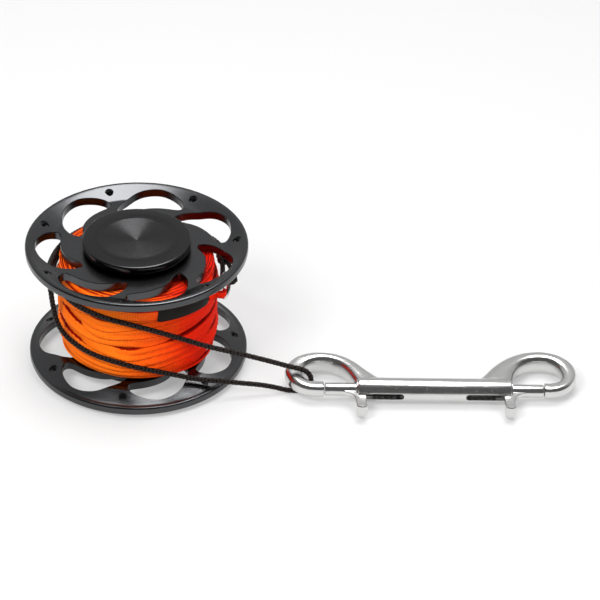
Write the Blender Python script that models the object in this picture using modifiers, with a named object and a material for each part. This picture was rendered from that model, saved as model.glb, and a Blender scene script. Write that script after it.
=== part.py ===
# Finger spool for a dive line: two dished, pierced flanges on a hub, a finger cap on each side
# that turns on ball bearings, a flat orange line wound on the hub, and a double-ended snap
# held by a loop of thin cord. Metres, +Z up, origin on the ground below the spool's axis.

import math

import bmesh
import bpy
from mathutils import Matrix, Vector

# General clearances and overruns
touch_gap = 0.0003
overrun = 0.002
screw_merge = 0.00001
weld_distance = 0.000001

# Flanges: flat in the middle, dished outwards to the rim
flange_radius = 0.0440
flange_thickness = 0.0035
flange_land_width = 0.0015
flange_land_bend = 0.0025
flange_cone_width = 0.0060
flange_flat_bend = 0.0030
flange_dish = 0.0032
flange_edge_fillet = 0.0009
flange_bearing_lip = 0.0015
flange_steps = 35
cutout_count = 7
cutout_first_angle = 34.6
rim_hole_radius = 0.0014
rim_hole_inset = 0.0047
rim_hole_first_angle = 7.9
rim_hole_sides = 8

# One cutout's outline: degrees from its middle, then its share of the flange radius
cutout_outline_shares = (
    (-26.5, 0.550), (-24.4, 0.655), (-18.9, 0.750), (-13.1, 0.820), (-6.9, 0.878),
    (0.0, 0.910), (7.1, 0.918), (14.2, 0.890), (20.3, 0.850), (24.6, 0.795),
    (24.3, 0.730), (19.5, 0.700), (12.9, 0.698), (6.1, 0.673), (-0.9, 0.662),
    (-7.7, 0.625), (-13.9, 0.590), (-18.9, 0.543))

# Hub, its screws and the space that the flanges leave between their flat middles
hub_width = 0.0389
hub_wall = 0.0047
hub_shoulder = 0.0015
hub_steps = 24
hub_screw_count = 4
screw_shank_radius = 0.0015
screw_head_radius = 0.0030
screw_head_height = 0.0017
screw_depth_in_hub = 0.0070
screw_socket_radius = 0.0011
screw_socket_depth = 0.0009
screw_steps = 8

# Finger caps
cap_radius = 0.0214
cap_thickness = 0.0031
cap_flange_gap = 0.0018
cap_edge_round = 0.0008
cap_rim_width = 0.0068
cap_recess_depth = 0.0003
cap_recess_cone = 0.0003
cap_step_width = 0.0003
cap_groove_offset = 0.0017
cap_groove_width = 0.0003
cap_groove_depth = 0.0002
cap_neck_wall = 0.0020
cap_floor = 0.0014
cap_steps = 28

# Ball bearings, axle and spacer
bearing_width = 0.0070
bearing_outer_radius = 0.0110
bearing_inner_radius = 0.0040
race_wall = 0.0019
ball_radius = 0.0019
ball_count = 7
ball_groove_clearance = 0.0003
cage_half_wall = 0.0003
cage_height = 0.0020
ball_sides = 10
ball_rings = 6
bearing_steps = 16

# Wound line: a plain core, the outer layer, the sleeve over its last turn and the end loop
line_thickness = 0.0009
line_whole_turns = 7
line_turn_points = 24
line_gap = 0.00045
line_radius = 0.03145
line_end_clearance = 0.0003
line_lower_round_height = 0.0070
line_lower_round_drop = 0.0036
line_upper_round_height = 0.0030
line_upper_round_drop = 0.0012
line_edge_share = 0.22
line_lift_clearance = 0.0003
tuck_length = 0.0060
tuck_bend = 0.0030
tuck_angle = 38.0
line_start_angle = 150.0
sleeve_thickness = 0.0024
sleeve_width = 0.0060
sleeve_start_angle = -72.0
sleeve_end_angle = -30.0
sleeve_start_drop = 0.0063
sleeve_end_drop = 0.0074
sleeve_points = 9
lift_start_angle = -126.0
lift_end_angle = -106.0
lift_middle_drop = 0.0039
lift_drop = 0.0008
end_loop_width = 0.0032
end_loop_drop = 0.0006
end_loop_ease = 0.0004
end_loop_strand_offset = 0.00072
end_loop_bulge_run = 0.0012
end_loop_bulge_rise = 0.0012

# Steel ring that joins the line's end loop to the cord
ring_radius = 0.0046
ring_wire_radius = 0.0009
ring_place_angle = -16.416
ring_stand_off = 0.00535
ring_drop = 0.0056
ring_lean = 8.0
ring_steps = 20
ring_wire_sides = 8

# Cord: a limp braid that loops round the spool, the snap's eye and back
cord_radius = 0.00115
cord_step = 0.0065
cord_bend_step = 0.0030
cord_bend_radius = 0.0090
knot_radius = 0.0029
knot_length = 0.0080
knot_edge_round = 0.0003
knot_angle = 14.0
knot_stand_off = 0.0005
knot_drop = 0.0053
knot_strand_offset = 0.00135
knot_sides = 14
bight_clearance = 0.0003

# Double-ended snap, measured from the middle of its barrel
snap_x = 0.1195
snap_y = -0.0258
snap_yaw = 2.67
snap_pitch = 0.5
barrel_radius = 0.00485
barrel_half_length = 0.0306
barrel_edge_round = 0.0005
barrel_steps = 24
gate_radius = 0.0026
gate_length = 0.0190
gate_edge_round = 0.0005
gate_steps = 14
bore_clearance = 0.00032
bore_middle_wall = 0.0040
nose_gap = 0.00085
slot_end_clearance = 0.0008
slot_side_clearance = 0.0002
lever_inset = 0.0012
lever_stem_thickness = 0.0023
lever_stem_width = 0.0046
lever_reach = 0.0143
lever_tab_width = 0.0050
lever_tab_thickness = 0.0022
lever_tab_top = 0.0023
lever_tab_bottom = 0.0031
lever_tab_round = 0.0009
lever_gusset = 0.0040
gate_travel = 0.0140
spring_wire_radius = 0.0003
spring_side_clearance = 0.00042
spring_turns = 6
spring_turn_points = 8
spring_end_gap = 0.0003

# Eye of the snap, nose first. Shares: of the overhang past the barrel's end, of the reach away
# from the barrel, of the eye's width in its own plane and of its height across it
eye_overhang = 0.0247
eye_reach = 0.0183
eye_width = 0.0096
eye_height = 0.0088
eye_outline_shares = (
    (0.561, 0.000, 0.583, 0.636), (0.672, 0.000, 0.583, 0.636), (0.794, 0.038, 0.583, 0.636),
    (0.907, 0.153, 0.604, 0.648), (0.988, 0.350, 0.635, 0.670), (1.000, 0.546, 0.688, 0.716),
    (0.951, 0.743, 0.667, 0.818), (0.834, 0.907, 0.583, 0.920), (0.684, 0.989, 0.521, 0.977),
    (0.510, 1.000, 0.500, 0.989), (0.348, 0.940, 0.563, 0.989), (0.215, 0.831, 0.708, 0.977),
    (0.097, 0.689, 0.896, 0.966), (-0.020, 0.530, 1.000, 0.966), (-0.142, 0.377, 1.000, 0.977),
    (-0.275, 0.240, 0.938, 1.000), (-0.445, 0.120, 0.792, 0.977), (-0.632, 0.055, 0.625, 0.818))
eye_sides = 12
eye_squareness = 2.4

# Radii that follow from the sizes above
flange_land_radius = flange_radius - flange_land_width
flange_cone_end = flange_land_radius - flange_land_bend
flange_cone_start = flange_cone_end - flange_cone_width
flange_flat_radius = flange_cone_start - flange_flat_bend
flange_centre_hole_radius = bearing_outer_radius - flange_bearing_lip
rim_hole_circle = flange_radius - rim_hole_inset
bearing_seat_radius = bearing_outer_radius + touch_gap
hub_radius = bearing_seat_radius + hub_wall
hub_bore_radius = bearing_seat_radius - hub_shoulder
hub_screw_circle = bearing_seat_radius + hub_wall / 2
ball_circle = (bearing_outer_radius + bearing_inner_radius) / 2
axle_radius = bearing_inner_radius - touch_gap
spacer_outer_radius = bearing_inner_radius + race_wall
cap_neck_radius = bearing_inner_radius + cap_neck_wall
cap_recess_radius = cap_radius - cap_rim_width
cap_groove_radius = cap_recess_radius + cap_groove_offset
knot_reach = line_radius + knot_stand_off + knot_radius
ring_reach = line_radius + ring_stand_off

# Heights that follow from the sizes above
lower_rim_underside = cap_thickness + cap_flange_gap - flange_dish
lower_flat_underside = lower_rim_underside + flange_dish
lower_flat_top = lower_flat_underside + flange_thickness
hub_bottom = lower_flat_top + touch_gap
hub_top = hub_bottom + hub_width
upper_flat_underside = hub_top + touch_gap
upper_flat_top = upper_flat_underside + flange_thickness
upper_cap_underside = upper_flat_top + cap_flange_gap
spool_height = upper_cap_underside + cap_thickness
spool_middle = spool_height / 2
upper_bearing_top = hub_top - touch_gap
upper_bearing_bottom = upper_bearing_top - bearing_width
upper_shoulder = upper_bearing_bottom - touch_gap
axle_bottom = cap_floor + touch_gap
axle_top = spool_height - axle_bottom
spacer_bore_radius = axle_radius + 2 * touch_gap
line_part_turn = ((lift_start_angle - line_start_angle) % 360.0) / 360.0
line_turns = line_whole_turns + line_part_turn
line_pitch = (hub_width - 2 * line_end_clearance + line_gap) / (line_turns + 1)
line_width = line_pitch - line_gap
line_first_height = hub_bottom + line_end_clearance + line_width / 2
line_last_height = line_first_height + line_turns * line_pitch
sleeve_start_height = hub_top - sleeve_start_drop
sleeve_end_height = hub_top - sleeve_end_drop
lift_middle_height = hub_top - lift_middle_drop
ring_height = hub_top - ring_drop
knot_height = hub_top - knot_drop

# Snap: what follows from the sizes above
bore_radius = gate_radius + bore_clearance
gate_end = barrel_half_length + eye_outline_shares[0][0] * eye_overhang - nose_gap
gate_inner_end = gate_end - gate_length
lever_at = barrel_half_length - lever_inset
slot_inner_end = lever_at - gate_travel - lever_stem_width / 2 - slot_end_clearance
slot_width = lever_stem_thickness + 2 * slot_side_clearance
spring_radius = bore_radius - spring_side_clearance - spring_wire_radius
snap_z = (barrel_radius * math.cos(math.radians(snap_pitch))
          + barrel_half_length * math.sin(math.radians(snap_pitch)))

# Cord's route, hand-placed: the middle of the cord, from the knot round the back of the spool,
# across its front to the snap's left eye, through the eye and the same way back
cord_route = (
    (0.0328, 0.0126, 0.04085), (0.0322, 0.0149, 0.0409), (0.0293, 0.0190, 0.0409),
    (0.0227, 0.0248, 0.0410),
    (0.0114, 0.0313, 0.0410), (0.0000, 0.0333, 0.0410), (-0.0114, 0.0313, 0.0410),
    (-0.0214, 0.0255, 0.0410), (-0.0289, 0.0166, 0.0410), (-0.0328, 0.0058, 0.0411),
    (-0.0329, -0.0054, 0.0413), (-0.0299, -0.0146, 0.0414), (-0.0260, -0.0206, 0.0411),
    (-0.0204, -0.0262, 0.0405), (-0.0126, -0.0307, 0.0399), (-0.0044, -0.0329, 0.0388),
    (0.0035, -0.0330, 0.0367), (0.0110, -0.0317, 0.0335), (0.0187, -0.0304, 0.0301),
    (0.0287, -0.0286, 0.0255), (0.0422, -0.0260, 0.0202), (0.0540, -0.0237, 0.0153),
    (0.0611, -0.0223, 0.0122), (0.0662, -0.0215, 0.0103), (0.0690, -0.0215, 0.0087),
    (0.0704, -0.0219, 0.0061), (0.0700, -0.0225, 0.0035), (0.0679, -0.0232, 0.0018),
    (0.0648, -0.0237, 0.00122), (0.0611, -0.0241, 0.0016), (0.0562, -0.0244, 0.0030),
    (0.0503, -0.0252, 0.0046), (0.0423, -0.0265, 0.0062), (0.0343, -0.0279, 0.0079),
    (0.0262, -0.0292, 0.0094), (0.0186, -0.0304, 0.0118), (0.0110, -0.0317, 0.0143),
    (0.0034, -0.0332, 0.0170), (-0.0066, -0.0327, 0.0194), (-0.0169, -0.0288, 0.0206),
    (-0.0228, -0.0251, 0.0219), (-0.0271, -0.0221, 0.0241), (-0.0297, -0.0194, 0.0264),
    (-0.0314, -0.0168, 0.0295), (-0.0324, -0.0150, 0.0338), (-0.0331, -0.0136, 0.0384),
    (-0.0341, -0.0105, 0.0420), (-0.0347, -0.0062, 0.0437), (-0.0341, 0.0010, 0.0441),
    (-0.0320, 0.0098, 0.0441), (-0.0270, 0.0197, 0.0440), (-0.0185, 0.0279, 0.0439),
    (-0.0075, 0.0326, 0.0439), (0.0048, 0.0332, 0.0439), (0.0164, 0.0291, 0.0438),
    (0.0243, 0.0235, 0.0438), (0.0293, 0.0190, 0.0438), (0.0322, 0.0149, 0.0438),
    (0.0328, 0.0126, 0.04375))


def clear_scene():
    for item in list(bpy.data.objects):
        bpy.data.objects.remove(item, do_unlink=True)


def collection(name):
    made = bpy.data.collections.new(name)
    bpy.context.scene.collection.children.link(made)
    return made


def material(name, colour, roughness, metallic):
    made = bpy.data.materials.new(name)
    made.use_nodes = True
    shader = made.node_tree.nodes["Principled BSDF"]
    shader.inputs["Base Color"].default_value = (*colour, 1.0)
    shader.inputs["Roughness"].default_value = roughness
    shader.inputs["Metallic"].default_value = metallic
    made.diffuse_color = (*colour, 1.0)
    return made


clear_scene()
parts = collection("finger_spool")
cutters = collection("finger_spool_cutters")


def place(item, finish=None, parent=None, cutter=False):
    (cutters if cutter else parts).objects.link(item)
    if parent is not None:
        item.parent = parent
    if cutter:
        item.hide_render = True
        item.display_type = "WIRE"
    if finish is not None:
        item.data.materials.append(finish)
    return item


def shade(item, angle=35.0):
    item.data.shade_smooth()
    item.data.set_sharp_from_angle(angle=math.radians(angle))
    return item


def empty(name, location, rotation=(0.0, 0.0, 0.0)):
    made = bpy.data.objects.new(name, None)
    made.location = location
    made.rotation_euler = rotation
    parts.objects.link(made)
    return made


def mesh_from(name, build):
    data = bpy.data.meshes.new(name)
    work = bmesh.new()
    build(work)
    work.to_mesh(data)
    work.free()
    return data


def turned(name, outline, steps, finish=None, parent=None, closed=True, cutter=False):
    # The outline runs down its outer side; an open one starts and ends on the axis
    def build(work):
        rows = [work.verts.new((radius, 0.0, height)) for radius, height in outline]
        pairs = list(zip(rows, rows[1:]))
        if closed:
            pairs.append((rows[-1], rows[0]))
        for pair in pairs:
            work.edges.new(pair)

    item = bpy.data.objects.new(name, mesh_from(name, build))
    place(item, finish, parent, cutter)
    turn = item.modifiers.new("turn", "SCREW")
    turn.axis = "Z"
    turn.angle = 2 * math.pi
    turn.steps = steps
    turn.render_steps = steps
    turn.use_merge_vertices = True
    turn.merge_threshold = screw_merge
    turn.use_smooth_shade = True
    return item


def boolean(item, cutter, operation="DIFFERENCE"):
    cut = item.modifiers.new(cutter.name, "BOOLEAN")
    cut.solver = "EXACT"
    cut.operation = operation
    cut.object = cutter
    return item


def cylinder_into(work, radius, bottom, top, centre=(0.0, 0.0), sides=12, top_radius=None):
    middle = Matrix.Translation((centre[0], centre[1], (bottom + top) / 2))
    bmesh.ops.create_cone(
        work, cap_ends=True, cap_tris=False, segments=sides, radius1=radius,
        radius2=radius if top_radius is None else top_radius, depth=top - bottom, matrix=middle)


def box_into(work, low, high):
    size = Vector(high) - Vector(low)
    middle = (Vector(high) + Vector(low)) / 2
    bmesh.ops.create_cube(work, size=1.0, matrix=Matrix.LocRotScale(middle, None, size))


def smooth_closed(points, between):
    made = []
    count = len(points)
    for index in range(count):
        before, here, after, later = (Vector(points[(index + k - 1) % count]) for k in range(4))
        for part in range(between):
            made.append(curve_between(before, here, after, later, part / between))
    return made


def curve_between(before, here, after, later, share):
    # Centripetal Catmull-Rom, read between its two middle points
    knots = [0.0]
    row = (before, here, after, later)
    for first, second in zip(row, row[1:]):
        knots.append(knots[-1] + max((second - first).length, weld_distance) ** 0.5)
    at = knots[1] + share * (knots[2] - knots[1])

    def mix(low, high, start, end):
        return (low * (end - at) + high * (at - start)) / (end - start)

    one = [mix(row[k], row[k + 1], knots[k], knots[k + 1]) for k in range(3)]
    two = [mix(one[k], one[k + 1], knots[k], knots[k + 2]) for k in range(2)]
    return mix(two[0], two[1], knots[1], knots[2])


def smooth_open(points, between=12):
    rows = [Vector(point) for point in points]
    rows = [2 * rows[0] - rows[1]] + rows + [2 * rows[-1] - rows[-2]]
    made = []
    for index in range(1, len(rows) - 2):
        made += [curve_between(*rows[index - 1:index + 3], part / between)
                 for part in range(between)]
    return made + [rows[-2]]


def curve_mesh(item):
    # Turns a curve object into a mesh object of the same name, with its caps welded
    name, finish = item.name, list(item.data.materials)
    home = cutters if item.name in cutters.objects else parts
    bpy.context.view_layer.update()
    source = item.evaluated_get(bpy.context.evaluated_depsgraph_get())
    data = bpy.data.meshes.new_from_object(source)
    world, parent = item.matrix_world.copy(), item.parent
    bpy.data.objects.remove(item, do_unlink=True)
    work = bmesh.new()
    work.from_mesh(data)
    bmesh.ops.remove_doubles(work, verts=work.verts, dist=weld_distance)
    bmesh.ops.recalc_face_normals(work, faces=work.faces)
    work.to_mesh(data)
    work.free()
    made = bpy.data.objects.new(name, data)
    home.objects.link(made)
    made.parent = parent
    made.matrix_world = world
    if not data.materials and finish:
        data.materials.append(finish[0])
    return made


def tube(name, points, radius, finish=None, parent=None, resolution=2, section=None):
    data = bpy.data.curves.new(name, "CURVE")
    data.dimensions = "3D"
    data.twist_mode = "Z_UP" if section else "MINIMUM"
    data.use_fill_caps = True
    data.bevel_resolution = resolution
    if section:
        data.bevel_mode = "OBJECT"
        data.bevel_object = section
    else:
        data.bevel_depth = radius
    line = data.splines.new("POLY")
    line.points.add(len(points) - 1)
    for point, here in zip(line.points, points):
        point.co = (*here, 1.0)
    return place(bpy.data.objects.new(name, data), finish, parent)


def flat_section(name, width, thickness):
    # Closed flat outline of a braid, thinner towards its edges
    data = bpy.data.curves.new(name, "CURVE")
    data.dimensions = "2D"
    line = data.splines.new("POLY")
    edge = width / 2 - line_edge_share * width
    outline = ((width / 2, 0.0), (edge, thickness / 2), (-edge, thickness / 2),
               (-width / 2, 0.0), (-edge, -thickness / 2), (edge, -thickness / 2))
    line.points.add(len(outline) - 1)
    for point, (across, out) in zip(line.points, outline):
        point.co = (out, across, 0.0, 1.0)
    line.use_cyclic_u = True
    return place(bpy.data.objects.new(name, data), cutter=True)


def around(radius, angle, height):
    turn = math.radians(angle)
    return Vector((radius * math.cos(turn), radius * math.sin(turn), height))


anodised = material("black_anodised", (0.035, 0.036, 0.038), 0.32, 0.85)
cap_black = material("black_turned_cap", (0.018, 0.018, 0.019), 0.34, 0.80)
steel = material("stainless_steel", (0.60, 0.59, 0.58), 0.24, 1.0)
bearing_steel = material("bearing_steel", (0.52, 0.52, 0.53), 0.20, 1.0)
orange = material("orange_line", (0.90, 0.14, 0.010), 0.62, 0.0)
cord_black = material("black_cord", (0.012, 0.012, 0.013), 0.70, 0.0)
sleeve_black = material("black_sleeve", (0.015, 0.015, 0.016), 0.45, 0.0)


# Flanges
def dish_at(radius):
    # The slope grows from the flat, holds along the cone and dies out on the land
    rise_in = flange_cone_start - flange_flat_radius
    rise_out = flange_land_radius - flange_cone_end
    cone = flange_cone_end - flange_cone_start
    slope = flange_dish / (rise_in / 2 + cone + rise_out / 2)
    if radius <= flange_flat_radius:
        return 0.0
    if radius <= flange_cone_start:
        return slope * (radius - flange_flat_radius) ** 2 / (2 * rise_in)
    if radius <= flange_cone_end:
        return slope * (rise_in / 2 + radius - flange_cone_start)
    if radius <= flange_land_radius:
        left = flange_land_radius - radius
        return flange_dish - slope * left ** 2 / (2 * rise_out)
    return flange_dish


def flange(name, middle_face, outward):
    # middle_face is the height of the face that looks at the hub
    stations = (flange_centre_hole_radius, flange_flat_radius, flange_cone_start,
                flange_cone_end, flange_radius - flange_edge_fillet)
    outer = [(radius, flange_thickness + dish_at(radius)) for radius in stations]
    inner = [(radius, dish_at(radius)) for radius in stations]
    lift = flange_dish + flange_thickness
    edge = [(flange_radius, lift - flange_edge_fillet),
            (flange_radius, flange_dish + flange_edge_fillet)]
    outline = outer + edge + inner[::-1]
    if outward < 0:
        outline = [(radius, -height) for radius, height in outline][::-1]
    item = turned(name, [(radius, middle_face + height) for radius, height in outline],
                  flange_steps, anodised)
    boolean(item, cutouts)
    boolean(item, rim_holes)
    for number, centre in enumerate(screw_places(), 1):
        boolean(item, screw_hole("%s_screw_hole_%d" % (name, number), centre, middle_face, outward))
    return item


def cutout_cutter(name):
    data = bpy.data.curves.new(name, "CURVE")
    data.dimensions = "2D"
    data.fill_mode = "BOTH"
    data.extrude = spool_middle + overrun
    for index in range(cutout_count):
        middle = cutout_first_angle + index * 360.0 / cutout_count
        row = [around(share * flange_radius, middle - angle, 0.0)
               for angle, share in cutout_outline_shares]
        points = smooth_closed(row, 2)
        line = data.splines.new("POLY")
        line.points.add(len(points) - 1)
        for point, here in zip(line.points, points):
            point.co = (here.x, here.y, 0.0, 1.0)
        line.use_cyclic_u = True
    item = place(bpy.data.objects.new(name, data), cutter=True)
    item.location = (0.0, 0.0, spool_middle)
    made = curve_mesh(item)
    made.hide_render = True
    made.display_type = "WIRE"
    return made


def rim_hole_cutter(name):
    def build(work):
        for index in range(cutout_count):
            centre = around(rim_hole_circle, rim_hole_first_angle + index * 360.0 / cutout_count, 0.0)
            cylinder_into(work, rim_hole_radius, -overrun, spool_height + overrun,
                          (centre.x, centre.y), rim_hole_sides)
    return place(bpy.data.objects.new(name, mesh_from(name, build)), cutter=True)


def screw_places():
    return [around(hub_screw_circle, index * 360.0 / hub_screw_count, 0.0)
            for index in range(hub_screw_count)]


def screw_hole(name, centre, middle_face, outward):
    # Countersink and shank clearance as one turned body, from outside the flange to inside it
    outer_face = middle_face + outward * flange_thickness
    clearance = screw_shank_radius + touch_gap
    depth = screw_head_height + touch_gap
    wide = screw_head_radius + touch_gap + (screw_head_radius - screw_shank_radius) * overrun / depth
    far, seat = outer_face + outward * overrun, outer_face - outward * depth
    through = middle_face - outward * overrun
    outline = [(0.0, far), (wide, far), (clearance, seat), (clearance, through), (0.0, through)]
    if outward < 0:
        outline = outline[::-1]
    item = turned(name, outline, screw_steps, closed=False, cutter=True)
    item.location = (centre.x, centre.y, 0.0)
    return item


cutouts = cutout_cutter("flange_cutouts")
rim_holes = rim_hole_cutter("flange_rim_holes")
flange("upper_flange", upper_flat_underside, 1)
flange("lower_flange", lower_flat_top, -1)


# Flange screws: countersunk, flush with the flange's outer face
def flange_screw(name, centre, outer_face, outward):
    head_under = outer_face - outward * screw_head_height
    tip = outer_face - outward * (flange_thickness + touch_gap + screw_depth_in_hub)
    floor = outer_face - outward * screw_socket_depth
    outline = [(0.0, floor), (screw_socket_radius, floor), (screw_socket_radius, outer_face),
               (screw_head_radius, outer_face), (screw_shank_radius, head_under),
               (screw_shank_radius, tip), (0.0, tip)]
    if outward < 0:
        outline = outline[::-1]
    item = turned(name, outline, screw_steps, steel, closed=False)
    item.location = (centre.x, centre.y, 0.0)
    return item


for number, centre in enumerate(screw_places(), 1):
    flange_screw("upper_flange_screw_%d" % number, centre, upper_flat_top, 1)
    flange_screw("lower_flange_screw_%d" % number, centre, lower_flat_underside, -1)


# Hub with a bearing seat at each end
def hub():
    far = [(hub_radius, hub_top), (hub_radius, hub_bottom),
           (bearing_seat_radius, hub_bottom), (bearing_seat_radius, spool_height - upper_shoulder),
           (hub_bore_radius, spool_height - upper_shoulder), (hub_bore_radius, upper_shoulder),
           (bearing_seat_radius, upper_shoulder), (bearing_seat_radius, hub_top)]
    item = turned("hub_drum", far, hub_steps, anodised)

    def build(work):
        depth = screw_depth_in_hub + touch_gap
        for centre in screw_places():
            cylinder_into(work, screw_shank_radius + touch_gap, hub_top - depth, hub_top + overrun,
                          centre[:2], screw_steps)
            cylinder_into(work, screw_shank_radius + touch_gap, hub_bottom - overrun,
                          hub_bottom + depth, centre[:2], screw_steps)
    holes = place(bpy.data.objects.new("hub_screw_holes", mesh_from("hub_screw_holes", build)),
                  cutter=True)
    return boolean(item, holes)


hub()


# Finger caps, each with a neck that reaches the bearing's inner race
def finger_cap(name, outward, recessed):
    # The lower cap's face stays plain: the spool stands on it
    neck_end = hub_width / 2
    under = upper_cap_underside - spool_middle
    top = under + cap_thickness
    hole_top = top - cap_floor
    step = cap_recess_radius + cap_step_width
    groove = cap_groove_radius + cap_groove_width / 2
    face = [(0.0, top)]
    if recessed:
        face = [(0.0, top - cap_recess_depth - cap_recess_cone),
                (cap_recess_radius, top - cap_recess_depth), (step, top),
                (groove - cap_groove_width, top),
                (groove - cap_groove_width / 2, top - cap_groove_depth), (groove, top)]
    outline = [*face, (cap_radius - cap_edge_round, top),
               (cap_radius, top - cap_edge_round), (cap_radius, under + cap_edge_round / 2),
               (cap_radius - cap_edge_round / 2, under), (cap_neck_radius, under),
               (cap_neck_radius, neck_end), (bearing_inner_radius, neck_end),
               (bearing_inner_radius, hole_top), (0.0, hole_top)]
    if outward < 0:
        outline = [(radius, -height) for radius, height in outline][::-1]
    item = turned(name, outline, cap_steps, cap_black, finger_hold, closed=False)
    return item


finger_hold = empty("finger_hold_axis", (0.0, 0.0, spool_middle))
finger_cap("upper_finger_cap", 1, True)
finger_cap("lower_finger_cap", -1, False)


# Axle and the spacer between the inner races
def flat_turned(name, radius, bottom, top, steps, finish, parent=None):
    outline = [(0.0, top), (radius, top), (radius, bottom), (0.0, bottom)]
    return turned(name, outline, steps, finish, parent, closed=False)


flat_turned("axle", axle_radius, axle_bottom - spool_middle, axle_top - spool_middle,
            bearing_steps, steel, finger_hold)
spacer_half = spool_middle - (spool_height - upper_shoulder)
turned("axle_spacer", [(spacer_outer_radius, spacer_half), (spacer_outer_radius, -spacer_half),
                       (spacer_bore_radius, -spacer_half), (spacer_bore_radius, spacer_half)],
       bearing_steps, steel, finger_hold)


# Ball bearings
def groove_points(side):
    # Side 1 is the outer race's groove, side -1 the inner race's; both read top to bottom
    radius = ball_radius + ball_groove_clearance
    wall = (bearing_outer_radius - race_wall if side > 0 else bearing_inner_radius + race_wall)
    reach = abs(wall - ball_circle)
    half = math.acos(min(1.0, reach / radius))
    made = []
    for share in (1.0, 0.5, 0.0, -0.5, -1.0):
        angle = half * share
        made.append((ball_circle + side * radius * math.cos(angle), radius * math.sin(angle)))
    return made


def bearing(prefix, middle, hold, turner):
    half = bearing_width / 2
    outer_wall = bearing_outer_radius - race_wall
    inner_wall = bearing_inner_radius + race_wall
    outline = ([(bearing_outer_radius, half), (bearing_outer_radius, -half), (outer_wall, -half)]
               + groove_points(1)[::-1] + [(outer_wall, half)])
    race = turned(prefix + "_bearing_outer_race", outline, bearing_steps, bearing_steel)
    race.location = (0.0, 0.0, middle)
    outline = ([(inner_wall, half)] + groove_points(-1)
               + [(inner_wall, -half), (bearing_inner_radius, -half), (bearing_inner_radius, half)])
    race = turned(prefix + "_bearing_inner_race", outline, bearing_steps, bearing_steel, hold)
    race.location = (0.0, 0.0, middle - spool_middle)
    cage = [(ball_circle + cage_half_wall, cage_height / 2),
            (ball_circle + cage_half_wall, -cage_height / 2),
            (ball_circle - cage_half_wall, -cage_height / 2),
            (ball_circle - cage_half_wall, cage_height / 2)]
    ring = turned(prefix + "_ball_cage", cage, 2 * ball_count, bearing_steel, turner)

    def build(work):
        for index in range(ball_count):
            centre = around(ball_circle, (index + 0.5) * 360.0 / ball_count, 0.0)
            bmesh.ops.create_uvsphere(work, u_segments=ball_sides, v_segments=ball_rings,
                                      radius=ball_radius, matrix=Matrix.Translation(centre))
    balls = place(bpy.data.objects.new(prefix + "_balls", mesh_from(prefix + "_balls", build)),
                  parent=turner, cutter=True)
    boolean(ring, balls, "UNION")


bearing_offset = (upper_bearing_top + upper_bearing_bottom) / 2 - spool_middle
upper_balls = empty("upper_balls_axis", (0.0, 0.0, spool_middle + bearing_offset))
lower_balls = empty("lower_balls_axis", (0.0, 0.0, spool_middle - bearing_offset))
bearing("upper", spool_middle + bearing_offset, finger_hold, upper_balls)
bearing("lower", spool_middle - bearing_offset, finger_hold, lower_balls)


# Wound line
def wound_radius(height):
    # Outside of the winding: rounded in towards both flanges
    lower = (hub_bottom + line_lower_round_height - height) / line_lower_round_height
    upper = (height - hub_top + line_upper_round_height) / line_upper_round_height
    drop = (line_lower_round_drop * max(0.0, lower) ** 2
            + line_upper_round_drop * max(0.0, upper) ** 2)
    return line_radius - drop


def core():
    below = line_thickness + touch_gap
    rows = []
    top, bottom = hub_top, hub_bottom
    stations = 9
    for index in range(stations):
        share = index / (stations - 1)
        height = top + (bottom - top) * (0.5 - 0.5 * math.cos(math.pi * share))
        radius = min(wound_radius(height - line_width / 2), wound_radius(height + line_width / 2))
        rows.append((radius - below, height))
    inner = hub_radius + touch_gap
    item = turned("line_core", rows + [(inner, bottom), (inner, top)], 28, orange)
    return boolean(item, tuck_pocket())


def tuck_frame():
    # Where the layer's first end dives into the core, and the way it points
    start = around(line_middle(line_first_height), line_start_angle, line_first_height)
    turn = math.radians(line_start_angle - 90.0 - tuck_angle)
    away = Vector((math.cos(turn), math.sin(turn), 0.0))
    half_turn = math.radians(line_start_angle - 90.0 - tuck_angle / 2)
    bend = Vector((math.cos(half_turn), math.sin(half_turn), 0.0))
    return start, bend, away


def line_middle(height):
    return wound_radius(height) - line_thickness / 2


def tuck_pocket():
    start, bend, away = tuck_frame()
    turn = math.radians(line_start_angle - 90.0 - tuck_angle)
    mouth = start + bend * tuck_bend
    room = 2 * touch_gap

    def build(work):
        box_into(work, (-tuck_bend, -line_thickness / 2 - room, -line_width / 2 - room),
                 (tuck_length + touch_gap, line_thickness / 2 + room, line_width / 2 + room))
    item = place(bpy.data.objects.new("tuck_pocket", mesh_from("tuck_pocket", build)), cutter=True)
    item.location = mouth
    item.rotation_euler = (0.0, 0.0, turn)
    return item


def sleeve_middle(share):
    angle = sleeve_start_angle + share * (sleeve_end_angle - sleeve_start_angle)
    height = sleeve_start_height + share * (sleeve_end_height - sleeve_start_height)
    return around(line_radius + line_lift_clearance + sleeve_thickness / 2, angle, height)


def outer_layer_points():
    start, bend, away = tuck_frame()
    mouth = start + bend * tuck_bend
    points = [mouth + away * tuck_length, mouth + away * tuck_length / 2, mouth]
    count = round(line_turns * line_turn_points)
    for index in range(count + 1):
        share = index / count
        height = line_first_height + share * (line_last_height - line_first_height)
        points.append(around(line_middle(height), line_start_angle + share * 360.0 * line_turns,
                             height))
    # Lift over the turns below and run down to the sleeve's end
    middle = (sleeve_middle(0.0) - sleeve_middle(1.0 / (sleeve_points - 1))).normalized()
    end = sleeve_middle(0.0) + middle * touch_gap
    run = end + middle * line_width
    high = line_radius + line_lift_clearance + sleeve_thickness / 2
    lifted = [around(high, lift_end_angle, lift_middle_height),
              around(high, (lift_end_angle + sleeve_start_angle) / 2,
                     (lift_middle_height + run.z + lift_drop) / 2)]
    return points, lifted, run, end


def outer_layer():
    points, lifted, run, end = outer_layer_points()
    path = points + smooth_open([points[-1], lifted[0], lifted[1], run], 3)[1:] + [end]
    return path


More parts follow.
